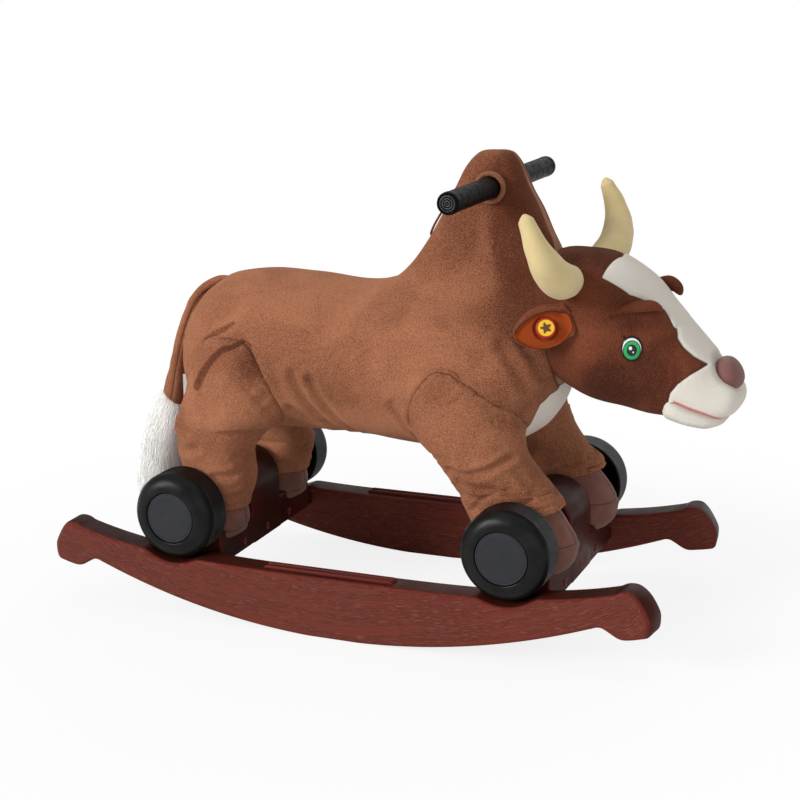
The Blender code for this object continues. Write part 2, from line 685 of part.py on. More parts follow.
# Stuffed head, stations from the neck to the muzzle: x, underside, top and half width
HEAD = (
    (0.228, 0.392, 0.478, 0.042),
    (0.240, 0.366, 0.495, 0.062),
    (0.262, 0.344, 0.505, 0.077),
    (0.292, 0.325, 0.506, 0.085),
    (0.325, 0.315, 0.501, 0.086),
    (0.355, 0.309, 0.487, 0.080),
    (0.383, 0.303, 0.464, 0.071),
    (0.408, 0.300, 0.435, 0.063),
    (0.432, 0.299, 0.408, 0.056),
    (0.456, 0.300, 0.384, 0.052),
    (0.474, 0.303, 0.369, 0.048),
    (0.486, 0.310, 0.359, 0.040),
    (0.4925, 0.323, 0.347, 0.025),
)

# The lower jaw: its rear is round about the pin, its top follows the mouth line
JAW = (
    (0.4002, 0.3040, 0.3140, 0.024),
    (0.4040, 0.2988, 0.3192, 0.031),
    (0.4110, 0.2962, 0.3218, 0.0344),
    (0.4150, 0.2955, 0.3222, 0.0344),
    (0.4200, 0.2930, 0.3208, 0.042),
    (0.4300, 0.2905, 0.3144, 0.045),
    (0.4420, 0.2880, 0.3094, 0.044),
    (0.4530, 0.2872, 0.3064, 0.041),
    (0.4650, 0.2900, 0.3050, 0.034),
    (0.4730, 0.2945, 0.3040, 0.022),
)

# The mouth line and the wall behind the jaw, as (x, z) from the jaw's pin
MOUTH_ROOM = (
    (-0.006, -0.030), (0.0, 0.0), (0.0, 0.0138), (0.005, 0.0150), (0.018, 0.0066),
    (0.037, -0.0014), (0.062, -0.0030), (0.095, -0.0030), (0.095, -0.030),
)

# Nose and eye: where the middle of the back is, and which way it faces
NOSE_SEAT, NOSE_AXIS = (0.4705, 0.0, 0.350), (0.84, 0.0, 0.54)
NOSE_LAYERS = ((0.0175, 0.0), (0.0212, 0.006), (0.0212, 0.014), (0.0165, 0.021), (0.0085, 0.0245))
EYE_SEAT, EYE_AXIS = (0.366, 0.0660, 0.391), (0.42, 0.88, 0.20)
EYE_LAYERS = ((0.0105, 0.0), (0.0155, 0.001), (0.0150, 0.008), (0.0110, 0.0115), (0.005, 0.013))


def profile_loft(name, stations, sides, blunt, lower_blunt):
    """A form with a side profile and a half width at each station along X."""
    rings = []
    for x, low, high, half in stations:
        rings.append(((x, 0.0, (low + high) / 2), (0, half, 0), (0, 0, (high - low) / 2)))
    return loft(name, swell(rings, sides, blunt, lower_blunt), split=True)


def make_head(toy, body_clearance):
    """The head with its jaw, mouth drive, nose, eyes, horns and ears."""
    mesh = profile_loft("head_plush", HEAD, 22, 2.2, 3.4)
    head = add_object("head_plush", mesh, HEAD_PLUSH, toy)
    head_clearance = add_cutter("head_clearance", grown("head_clearance", mesh, 2 * GAP), toy)
    cut(head, body_clearance)
    make_jaw(toy, head)
    make_nose(toy, head)
    for side_name, side in SIDES:
        make_eye(toy, head, side_name, side)
        name = f"{side_name}_horn"
        cut(add_object(name, horn_mesh(name, side), HORN_FABRIC, toy), head_clearance)
        ear = make_ear(toy, side_name, side, head_clearance)
        if side_name == "right":
            make_ear_button(toy, ear, side)


def make_jaw(toy, head):
    """The lower jaw turns on a pin across the head, moved by a drive in the room behind it."""
    px, _, pz = JAW_PIN
    local = [(x - px, low - pz, high - pz, half) for x, low, high, half in JAW]
    shape = profile_loft("lower_jaw", local, 16, 2.8, 2.4)
    jaw = add_object("lower_jaw", shape, WHITE_PLUSH, toy, JAW_PIN)
    bore = cross_rod("bore", JAW_PIN_RADIUS + GAP, 0.1, sides=10)
    cut(jaw, add_cutter("jaw_bore", bore, toy, JAW_PIN))
    room = cross_rod("room", JAW_ROOM_RADIUS, JAW_ROOM_HALF_WIDTH)
    cut(head, add_cutter("jaw_room", room, toy, JAW_PIN))
    cut(head, add_cutter("mouth_room", prism("mouth_room", MOUTH_ROOM, -0.1, 0.1), toy, JAW_PIN))
    reach = JAW_ROOM_HALF_WIDTH + 0.006
    pin = cross_rod("jaw_pin", JAW_PIN_RADIUS, reach, sides=10)
    add_object("jaw_pin", pin, STEEL, toy, JAW_PIN)
    seat = cross_rod("seat", JAW_PIN_RADIUS + GAP, reach + GAP, sides=10)
    cut(head, add_cutter("jaw_pin_seat", seat, toy, JAW_PIN))
    drive = block("mouth_drive", DRIVE_LOW, DRIVE_HIGH)
    add_object("mouth_drive", drive, CASE_PLASTIC, toy)
    low = [v - GAP for v in DRIVE_LOW]
    high = [v + GAP for v in DRIVE_HIGH]
    high[0] = px - 0.010
    cut(head, add_cutter("mouth_drive_room", block("room", low, high), toy))


def make_nose(toy, head):
    nose = turned("nose", NOSE_LAYERS, 18, NOSE_AXIS, NOSE_SEAT)
    add_object("nose", nose, NOSE_FABRIC, toy)
    seat = [(r + GAP, h - GAP) for r, h in NOSE_LAYERS[:3]] + [(NOSE_LAYERS[2][0] + GAP, 0.04)]
    room = turned("nose_room", seat, 18, NOSE_AXIS, NOSE_SEAT)
    cut(head, add_cutter("nose_room", room, toy))


def make_eye(toy, head, side_name, side):
    name = f"{side_name}_eye"
    centre = (EYE_SEAT[0], side * EYE_SEAT[1], EYE_SEAT[2])
    axis = (EYE_AXIS[0], side * EYE_AXIS[1], EYE_AXIS[2])
    add_object(name, turned(name, EYE_LAYERS, 16, axis, centre), EYE_PLASTIC, toy)
    seat = [(r + GAP, h - GAP) for r, h in EYE_LAYERS[:2]] + [(EYE_LAYERS[1][0] + GAP, 0.03)]
    cut(head, add_cutter(f"{name}_room", turned("eye_room", seat, 16, axis, centre), toy))


# A horn's root, the corner that its curve bends round, and its tip, on the left
HORN_CURVE = ((0.286, 0.066, 0.474), (0.284, 0.188, 0.478), (0.264, 0.163, 0.570))
HORN_RADIUS = 0.0225
HORN_TIP_RADIUS = 0.004


def horn_mesh(name, side):
    """A horn: out from the skull, then up and a little back, its radius running out at the tip."""
    root, corner, tip = (np.array(point) * (1.0, side, 1.0) for point in HORN_CURVE)
    route, radii = [], []
    for t in (0.0, 0.15, 0.30, 0.45, 0.60, 0.74, 0.87, 0.96, 1.0):
        route.append((1 - t) ** 2 * root + 2 * t * (1 - t) * corner + t * t * tip)
        radii.append(min(HORN_TIP_RADIUS + 0.0235 * (1 - t) ** 0.55, HORN_RADIUS))
    return tube(name, route, radii)


# An ear's root, tip and face direction on the left, and its stations from the root out:
# share of the length, half width and half depth
EAR_ROOT = np.array((0.296, 0.080, 0.432))
EAR_TIP = np.array((0.230, 0.117, 0.411))
EAR_FACE = np.array((0.35, 0.86, 0.36))
EAR_ROWS = (
    (0.00, 0.0140, 0.0060),
    (0.15, 0.0220, 0.0068),
    (0.35, 0.0268, 0.0070),
    (0.58, 0.0268, 0.0068),
    (0.80, 0.0205, 0.0062),
    (0.93, 0.0130, 0.0052),
    (1.00, 0.0055, 0.0035),
)


def ear_axes(side):
    """Root, step along the ear to its tip, and unit vectors down across it and out of its face."""
    flip = np.array((1.0, side, 1.0))
    length = (EAR_TIP - EAR_ROOT) * flip
    lengthwise = length / np.linalg.norm(length)
    face = EAR_FACE * flip
    face = face - np.dot(face, lengthwise) * lengthwise
    face /= np.linalg.norm(face)
    return EAR_ROOT * flip, length, -side * np.cross(face, lengthwise), face


def make_ear(toy, side_name, side, head_clearance):
    """A leaf-shaped, flattened ear, sewn to the side of the head."""
    name = f"{side_name}_ear"
    root, length, down, face = ear_axes(side)
    rings = [(root + length * t, down * width, face * depth) for t, width, depth in EAR_ROWS]
    ear = add_object(name, loft(name, swell(rings, 12)), HEAD_PLUSH, toy)
    cut(ear, head_clearance)
    return ear


def make_ear_button(toy, ear, side):
    """A round push badge in the ear's face, with the switch that it presses."""
    root, length, down, face = ear_axes(side)
    centre = root + length * 0.47 + down * 0.003
    stem, rim, top = 0.0050, 0.0128, 0.0104
    layers = ((stem, 0.0012), (stem, 0.0040), (rim, 0.0040), (rim, top - 0.0012), (rim - 0.0018, top))
    badge = turned("ear_button", layers, 16, face)
    add_object("ear_button", badge, BADGE_PLASTIC, toy, centre)
    switch = turned("ear_switch", ((0.0062, -0.0036), (0.0062, -0.0012)), 12, face)
    add_object("ear_switch", switch, CASE_PLASTIC, toy, centre)
    room = ((0.0066, -0.0040), (0.0066, 0.0012), (rim + 0.0005, 0.0012), (rim + 0.0005, 0.03))
    room = turned("ear_button_room", room, 16, face)
    cut(ear, add_cutter("ear_button_room", room, toy, centre))


# Tail: stations of the stalk and of the tuft, as (x, z, radius)
TAIL_STALK = (
    (-0.2790, 0.4175, 0.0085),
    (-0.2945, 0.3985, 0.0095),
    (-0.3105, 0.3600, 0.0110),
    (-0.3235, 0.3150, 0.0120),
    (-0.3315, 0.2800, 0.0130),
    (-0.3360, 0.2620, 0.0140),
)
TAIL_TUFT = (
    (-0.33612, 0.26150, 0.0180),
    (-0.3385, 0.2520, 0.0250),
    (-0.3490, 0.2280, 0.0310),
    (-0.3620, 0.1920, 0.0345),
    (-0.3700, 0.1500, 0.0355),
    (-0.3735, 0.1200, 0.0310),
    (-0.3740, 0.1000, 0.0220),
    (-0.3740, 0.0920, 0.0100),
)


def tail_mesh(name, stations, sides):
    """A length of the tail, measured from its pivot."""
    route = [(x - TAIL_PIVOT_X, 0.0, z - TAIL_PIN_Z) for x, z, _ in stations]
    return tube(name, route, [radius for _, _, radius in stations], sides)


def make_tail(toy, body):
    """The tail swings from side to side on a pin along X that is set in the rump."""
    start, end = TAIL_PIN_X
    place = (0.0, 0.0, TAIL_PIN_Z)
    pin = tube("tail_pin", [(start, 0, 0), (end, 0, 0)], TAIL_PIN_RADIUS)
    add_object("tail_pin", pin, STEEL, toy, place)
    bore = tube("bore", [(start + GAP, 0, 0), (end - 0.04, 0, 0)], TAIL_PIN_RADIUS + GAP)
    cut(body, add_cutter("tail_pin_bore", bore, toy, place))
    pivot = (TAIL_PIVOT_X, 0.0, TAIL_PIN_Z)
    stalk = add_object("tail_stalk", tail_mesh("tail_stalk", TAIL_STALK, 12), PLUSH, toy, pivot)
    knob = tube("knob", [(0.0045, 0, 0), (-0.0085, 0, 0)], TAIL_KNOB_RADIUS, 14)
    join(stalk, add_cutter("tail_knob", knob, toy, pivot))
    hole = tube("hole", [(0.03, 0, 0), (-0.0140, 0, 0)], TAIL_PIN_RADIUS + GAP)
    cut(stalk, add_cutter("tail_hole", hole, toy, pivot))
    add_object("tail_tuft", tail_mesh("tail_tuft", TAIL_TUFT, 14), WHITE_PLUSH, toy, pivot)


def make_sound_unit(toy, body):
    """A sound box in the belly, with a battery door held by one screw."""
    low, high = SOUND_BOX_LOW, SOUND_BOX_HIGH
    box = add_object("sound_box", block("sound_box", low, high), CASE_PLASTIC, toy)
    room = block("room", (low[0] - 0.001, low[1] - 0.001, 0.20),
                 (high[0] + 0.001, high[1] + 0.001, high[2] + GAP))
    cut(body, add_cutter("sound_box_room", room, toy))
    shape = block("battery_door", (low[0] + DOOR_INSET, low[1] + DOOR_INSET, DOOR_BOTTOM_Z),
                  (high[0] - DOOR_INSET, high[1] - DOOR_INSET, low[2] - GAP))
    door = add_object("battery_door", shape, CASE_PLASTIC, toy)
    bevel(door, 0.0012)
    head, shank, z = 0.0030, 0.0013, DOOR_BOTTOM_Z
    profile = [(head, z), (head, z + 0.0012), (shank, z + 0.0020), (shank, z + 0.0100)]
    place = (high[0] - 0.010, 0.0, 0.0)
    make_screw(toy, "battery_door_screw", place, (0.0, 0.0, 0.0), profile, STEEL, [door, box])


def build():
    for obj in list(bpy.data.objects):
        bpy.data.objects.remove(obj, do_unlink=True)
    toy = bpy.data.objects.new("rocking_animal", None)
    toy.location = (FRAME_SHIFT_X, 0.0, 0.0)
    bpy.context.scene.collection.objects.link(toy)
    make_base(toy)
    body, body_clearance = make_body(toy)
    make_legs(toy, body, body_clearance)
    make_spine(toy, body)
    make_handlebar(toy, body)
    for side_name, side in SIDES:
        make_grip(toy, body, side_name, side)
    make_head(toy, body_clearance)
    make_tail(toy, body)
    make_sound_unit(toy, body)


build()
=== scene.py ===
"""Looks of a plush bull on four wheels, standing on a rocking base.

Lengths are in metres. X runs forwards along the bull, Y to its left and Z up. Shapes are written
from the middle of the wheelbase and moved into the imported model's frame as their mesh is made.
"""

import json
import logging
import math
from collections.abc import Sequence
from dataclasses import dataclass
from enum import Enum

import bmesh
import bpy
import numpy as np
from mathutils import Matrix, Vector

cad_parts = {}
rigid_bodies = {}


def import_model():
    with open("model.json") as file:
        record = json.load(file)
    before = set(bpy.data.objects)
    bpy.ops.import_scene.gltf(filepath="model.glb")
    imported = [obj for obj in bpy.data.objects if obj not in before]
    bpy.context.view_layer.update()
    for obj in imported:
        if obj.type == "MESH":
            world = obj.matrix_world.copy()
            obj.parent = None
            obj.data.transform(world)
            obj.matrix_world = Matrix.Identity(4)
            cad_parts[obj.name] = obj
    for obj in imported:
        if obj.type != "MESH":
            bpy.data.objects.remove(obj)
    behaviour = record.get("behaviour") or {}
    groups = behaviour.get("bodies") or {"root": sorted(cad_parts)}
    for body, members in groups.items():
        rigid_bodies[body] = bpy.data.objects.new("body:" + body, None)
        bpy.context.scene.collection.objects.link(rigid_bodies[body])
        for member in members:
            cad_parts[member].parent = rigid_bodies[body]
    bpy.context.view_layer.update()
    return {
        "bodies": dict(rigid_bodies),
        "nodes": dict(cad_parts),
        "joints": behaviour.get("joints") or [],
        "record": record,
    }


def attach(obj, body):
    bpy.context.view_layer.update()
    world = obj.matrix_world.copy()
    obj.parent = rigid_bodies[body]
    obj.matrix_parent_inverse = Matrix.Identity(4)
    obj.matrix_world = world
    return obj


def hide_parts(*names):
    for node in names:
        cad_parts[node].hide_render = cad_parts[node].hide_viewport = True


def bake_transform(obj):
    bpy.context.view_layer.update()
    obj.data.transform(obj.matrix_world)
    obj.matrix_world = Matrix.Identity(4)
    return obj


Array = np.ndarray
Colour = tuple[float, float, float, float]
Fields = dict[str, Array | float]
Line = Sequence[Sequence[float]] | Array
Material = bpy.types.Material
Thing = bpy.types.Object
Folds = Sequence[tuple[Line, float, float]]

LOG = logging.getLogger("rocking_bull")
FRAME_SHIFT = np.array((-0.032, 0.0, 0.0))
FAR = 0.05
FINE_STEPS = 40
COARSE = 3
CLOTH_FRAMES = 24
CLOTH = {"quality": 6, "mass": 0.3, "air_damping": 2.0, "tension_stiffness": 12.0,
         "compression_stiffness": 12.0, "shear_stiffness": 4.0, "bending_stiffness": 0.12,
         "use_pressure": True, "uniform_pressure_force": 1.5}
WHITE = (1.0, 1.0, 1.0, 1.0)
MERGE = 1e-6
FILLET = 0.026


class Named(Enum):
    """A choice whose lower-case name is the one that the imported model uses."""

    @property
    def label(self) -> str:
        """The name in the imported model."""
        return self.name.lower()


class Side(Named):
    """A side of the toy, with the sign of its Y."""

    RIGHT = -1.0
    LEFT = 1.0


class End(Named):
    """An end of the toy, with the X of its axle."""

    FRONT = 0.2375
    REAR = -0.2375


# Curves and grids


def ease(low: float, high: float, value: Array) -> Array:
    """Smooth step: 0 below low, 1 above high, and 3t^2 - 2t^3 between them."""
    t = np.clip((value - low) / (high - low), 0.0, 1.0)
    return t * t * (3.0 - 2.0 * t)


def bell(value: Array, width: float) -> Array:
    """Bell curve exp(-(value / width)^2)."""
    return np.exp(-((value / width) ** 2))


def axes(grid: Array) -> Array:
    """The x, y and z of points, each as an array of its own."""
    return np.moveaxis(grid, -1, 0)


def from_side(grid: Array) -> Array:
    """The x and z of points."""
    return grid[..., [0, 2]]


def together(*parts: Array | float) -> Array:
    """Values joined along a new last axis, each spread to the shape that they share."""
    return np.stack(np.broadcast_arrays(*parts), -1)


def unit(vectors: Array) -> Array:
    """The vectors at length one."""
    return vectors / np.maximum(np.linalg.norm(vectors, axis=-1, keepdims=True), 1e-12)


def angles(count: int) -> Array:
    """Even angles round a circle."""
    return np.arange(count) * 2 * math.pi / count


def through(knots: Array, values: Array, at: Array) -> Array:
    """Cubic pieces through the values at the knots, their slopes taken from the neighbours.

    Args:
        knots: rising positions of the values.
        values: one row for each knot.
        at: the positions to work out.

    Returns:
        One row for each position, as h00 v0 + h10 h m0 + h01 v1 + h11 h m1.
    """
    knots, values = np.asarray(knots, float), np.asarray(values, float)
    slopes = np.gradient(values, knots, axis=0)
    k = np.clip(np.searchsorted(knots, at) - 1, 0, len(knots) - 2)
    step = knots[k + 1] - knots[k]
    t = (at - knots[k]) / step
    shape = (-1,) + (1,) * (values.ndim - 1)
    t, step = t.reshape(shape), step.reshape(shape)
    return (
        (2 * t**3 - 3 * t**2 + 1) * values[k]
        + (t**3 - 2 * t**2 + t) * step * slopes[k]
        + (3 * t**2 - 2 * t**3) * values[k + 1]
        + (t**3 - t**2) * step * slopes[k + 1]
    )


def refined(table: Line, count: int) -> Array:
    """Rows filled in to that many by smooth curves through those given."""
    return through(np.arange(len(table)), table, np.linspace(0, len(table) - 1, count))


def even_curve(points: Line, count: int) -> Array:
    """A smooth curve through the points, cut into even steps of its own length."""
    return even_steps(refined(points, FINE_STEPS * len(points)), count)


def even_steps(line: Array, count: int) -> Array:
    """A broken line cut into even steps of its own length."""
    run = np.concatenate([[0.0], np.cumsum(np.linalg.norm(np.diff(line, axis=0), axis=1))])
    at = np.linspace(0.0, run[-1], count)
    return np.stack([np.interp(at, run, line[:, k]) for k in range(line.shape[1])], axis=1)


def even_rows(rows: Array, count: int) -> Array:
    """Each row of points cut into even steps of its own length, all rows at once.

    Args:
        rows: (rows, points, axes).
        count: points for each row of the result.
    """
    runs = np.cumsum(np.linalg.norm(np.diff(rows, axis=1), axis=2), axis=1)
    runs = np.pad(runs, ((0, 0), (1, 0)))
    share = runs / np.maximum(runs[:, -1:], 1e-12)
    at = np.linspace(0.0, 1.0, count)
    last = np.clip((share[:, :, None] <= at).sum(axis=1) - 1, 0, rows.shape[1] - 2)
    low = np.take_along_axis(share, last, axis=1)
    high = np.take_along_axis(share, last + 1, axis=1)
    t = np.clip((at - low) / np.maximum(high - low, 1e-12), 0.0, 1.0)[..., None]
    first = np.take_along_axis(rows, last[..., None], axis=1)
    second = np.take_along_axis(rows, last[..., None] + 1, axis=1)
    return first * (1 - t) + second * t


def line_distance(points: Array, line: Line) -> Array:
    """Distance of each point from a broken line, in a plane or in space."""
    corners = np.asarray(line, float)
    best = np.full(points.shape[:-1], np.inf)
    for a, b in zip(corners[:-1], corners[1:]):
        run = b - a
        t = np.clip(((points - a) @ run) / (run @ run), 0.0, 1.0)
        best = np.minimum(best, np.linalg.norm(points - (a + t[..., None] * run), axis=-1))
    return best


def region_distance(points: Array, outline: Line) -> Array:
    """Distance of each point from a closed outline in a plane, positive inside it."""
    corners = np.asarray(outline, float)
    closed = np.vstack([corners, corners[:1]])
    inside = np.zeros(points.shape[:-1], bool)
    for (ax, ay), (bx, by) in zip(closed[:-1], closed[1:]):
        spans = (ay > points[..., 1]) != (by > points[..., 1])
        cross = ax + (points[..., 1] - ay) * (bx - ax) / (by - ay if by != ay else 1e-12)
        inside ^= spans & (points[..., 0] < cross)
    return np.where(inside, 1.0, -1.0) * line_distance(points, closed)


def nearest(*distances: Array) -> Array:
    """The signed distance that is smallest in size at each point."""
    stack = np.stack(np.broadcast_arrays(*distances))
    pick = np.abs(stack).argmin(axis=0)
    return np.take_along_axis(stack, pick[None], axis=0)[0]


def along_skin(grid: Array, field: Array) -> Array:
    """A field over a grid turned into lengths along its skin: the field over its own slope."""
    step = np.linalg.norm(np.gradient(grid, axis=0), axis=-1)
    ahead = np.gradient(field, axis=0) / np.maximum(step, 1e-7)
    around = np.roll(grid, -1, axis=1) - np.roll(grid, 1, axis=1)
    turn = np.roll(field, -1, axis=1) - np.roll(field, 1, axis=1)
    across = turn / np.maximum(np.linalg.norm(around, axis=-1), 1e-7)
    return field / np.clip(np.hypot(ahead, across), 0.05, None)


def filled(gap: Array, reach: float) -> Array:
    """Outward push that rounds the corner where two stuffed forms meet.

    The smooth union of two surfaces stands reach / 4 (1 - |gap| / reach)^2 outside each of them,
    where gap is the distance from the other surface.

    Args:
        gap: distance of each point from the other form.
        reach: distance at which the filling ends.
    """
    return reach / 4 * np.clip(1 - np.abs(gap) / reach, 0.0, 1.0) ** 2


def space_under(points: Array, faces: Array) -> float:
    """Six times the space under the faces, from the triple product of their corners."""
    middle = points.mean(axis=0)
    a, b, c = (points[faces[:, k]] - middle for k in (0, 1, 2))
    total = np.einsum("ij,ij->", a, np.cross(b, c))
    if faces.shape[1] == 4:
        total += np.einsum("ij,ij->", a, np.cross(c, points[faces[:, 3]] - middle))
    return float(total)


def simulated(points: Array, quads: Array, held: Array, spare: float) -> Array:
    """Points of a light cloth after it was blown up gently, without gravity.

    Args:
        points: where the cloth starts.
        quads: its faces, turned outwards.
        held: share from 0 to 1 by which each point is kept in place.
        spare: share by which the cloth is longer than it starts.
    """
    mesh = bpy.data.meshes.new("fabric")
    mesh.from_pydata(points.tolist(), [], quads.tolist())
    cloth = placed("fabric", mesh)
    sewn = cloth.vertex_groups.new(name="sewn")
    for step in range(1, 11):
        chosen = np.flatnonzero((held * 10).round().astype(int) == step)
        sewn.add(chosen.tolist(), step / 10, "REPLACE")
    modifier = cloth.modifiers.new("fabric", "CLOTH")
    modifier.collision_settings.use_collision = False
    modifier.point_cache.frame_start, modifier.point_cache.frame_end = 1, CLOTH_FRAMES
    for key, value in {**CLOTH, "shrink_min": -spare, "shrink_max": -spare}.items():
        setattr(modifier.settings, key, value)
    modifier.settings.vertex_group_mass = "sewn"
    modifier.settings.effector_weights.gravity = 0.0
    scene = bpy.context.scene
    for frame in range(1, CLOTH_FRAMES + 1):
        scene.frame_set(frame)
    done = cloth.evaluated_get(bpy.context.evaluated_depsgraph_get())
    moved = np.empty(points.size)
    done.data.vertices.foreach_get("co", moved)
    scene.frame_set(1)
    bpy.data.objects.remove(cloth)
    bpy.data.meshes.remove(mesh)
    return moved.reshape(points.shape)


def settled(grid: Array, held: Array, spare: float, cap: float) -> Array:
    """How far the fabric of a stuffed form moves as it settles, from a short cloth simulation.

    The moves of a coarse copy of the skin are spread back over the fine grid by curves through
    the coarse rows and columns, and shortened to less than the cap.

    Args:
        grid: points of the fine skin, whose last column meets the first.
        held: share from 0 to 1 by which each point is kept in place.
        spare: share by which the cloth is longer than the form.
        cap: most that a point may move.
    """
    fine = grid.shape[:2]
    rows = np.unique(np.linspace(0, fine[0] - 1, fine[0] // COARSE).round().astype(int))
    columns = np.arange(0, fine[1], COARSE)
    coarse = grid[rows][:, columns]
    index = np.arange(coarse[..., 0].size).reshape(coarse.shape[:2])
    right = np.roll(index, -1, axis=1)
    quads = np.stack([index[:-1], right[:-1], right[1:], index[1:]], -1).reshape(-1, 4)
    points = coarse.reshape(-1, 3)
    if space_under(points, quads) < 0:
        quads = quads[:, ::-1]
    moved = simulated(points, quads, held[rows][:, columns].ravel(), spare)
    move = moved.reshape(coarse.shape) - coarse
    length = np.linalg.norm(move, axis=-1, keepdims=True)
    move *= cap * np.tanh(length / cap) / np.maximum(length, 1e-9)
    LOG.info("settled: mean move %.1f mm, most %.1f mm", length.mean() * 1000, length.max() * 1000)
    tall = through(rows, move.reshape(len(rows), -1), np.arange(fine[0], dtype=float))
    tall = tall.reshape(fine[0], len(columns), 3).transpose(1, 0, 2)
    tall = np.concatenate([tall[-2:], tall, tall[:3]])
    past = COARSE * np.arange(1, 4)
    knots = np.concatenate([columns[:2] - 2 * COARSE, columns, columns[-1] + past])
    wide = through(knots, tall.reshape(len(tall), -1), np.arange(fine[1], dtype=float))
    return wide.reshape(fine[1], fine[0], 3).transpose(1, 0, 2)


def lumps(points: Array, size: float, turn: float = 0.0) -> Array:
    """Soft unevenness of stuffing between -1 and 1: four crossed sine waves of about that size."""
    total = np.zeros(points.shape[:-1])
    for k in range(4):
        a, b = 1.7 * k + turn, 0.9 * k + 0.4 + turn
        way = np.array((math.cos(a) * math.cos(b), math.sin(a) * math.cos(b), math.sin(b)))
        total += np.sin(points @ way * (2 * math.pi / size) * (1 + 0.13 * k) + 2.1 * k + turn)
    return total / 4


def normals_of(grid: Array) -> Array:
    """Unit normals of a grid closed round its columns, turned away from the form's middle."""
    across = np.roll(grid, -1, axis=1) - np.roll(grid, 1, axis=1)
    normal = unit(np.cross(across, np.gradient(grid, axis=0)))
    outward = grid - grid.mean(axis=1, keepdims=True)
    return normal if (normal * outward).sum() > 0 else -normal


def pushed(grid: Array, push: Array, normal: Array | None = None) -> Array:
    """The points moved out along their normals, or along those given."""
    return grid + push[..., None] * (normals_of(grid) if normal is None else normal)


def oval(count: int, blunt: float | Array = 2.0) -> tuple[Array, Array]:
    """Cosine and sine round a rounded oval: each raised in size to the power 2 / blunt."""
    c, s = np.cos(angles(count)), np.sin(angles(count))
    power = 2.0 / np.asarray(blunt)
    return np.sign(c) * np.abs(c) ** power, np.sign(s) * np.abs(s) ** power


def swept(route: Array, radii: Array | float, columns: int, up: Sequence[float] = (0, 1, 0),
          flat: float = 1.0) -> Array:
    """A round or flattened bar along a route: centre + r (cos a side + flat sin a over).

    Args:
        route: (rows, 3) points along the bar.
        radii: one radius, or one for each point.
        columns: points round the bar.
        up: the way that the bar's first half axis stays square to.
        flat: share of the radius along the second half axis.
    """
    tangent = unit(np.gradient(route, axis=0))
    side = unit(np.cross(tangent, up))
    over = np.cross(side, tangent)
    c, s = oval(columns)
    radius = np.broadcast_to(radii, len(route))[:, None, None]
    ring = c[:, None] * side[:, None, :] + flat * s[:, None] * over[:, None, :]
    return route[:, None, :] + radius * ring


def turned(profile: Line, columns: int, centre: Sequence[float],
           axis: Sequence[float] = (0, 1, 0)) -> Array:
    """A surface turned about an axis: centre + h axis + r (cos a first + sin a second).

    Args:
        profile: (rows, 2) pairs of radius and height along the axis.
        columns: points round the axis.
        centre: where the height is nought.
        axis: the axis, of any length.
    """
    along = unit(np.asarray(axis, float))
    first = unit(np.cross(along, (1.0, 0.0, 0.0) if abs(along[2]) > 0.9 else (0.0, 0.0, 1.0)))
    angle = angles(columns)[:, None]
    ring = np.cos(angle) * first + np.sin(angle) * np.cross(along, first)
    radius, height = np.asarray(profile, float).T[..., None, None]
    return np.asarray(centre, float) + height * along + radius * ring


# Meshes


def placed(name: str, data: bpy.types.ID) -> Thing:
    """An object of the data, in the scene."""
    obj = bpy.data.objects.new(name, data)
    bpy.context.scene.collection.objects.link(obj)
    return obj


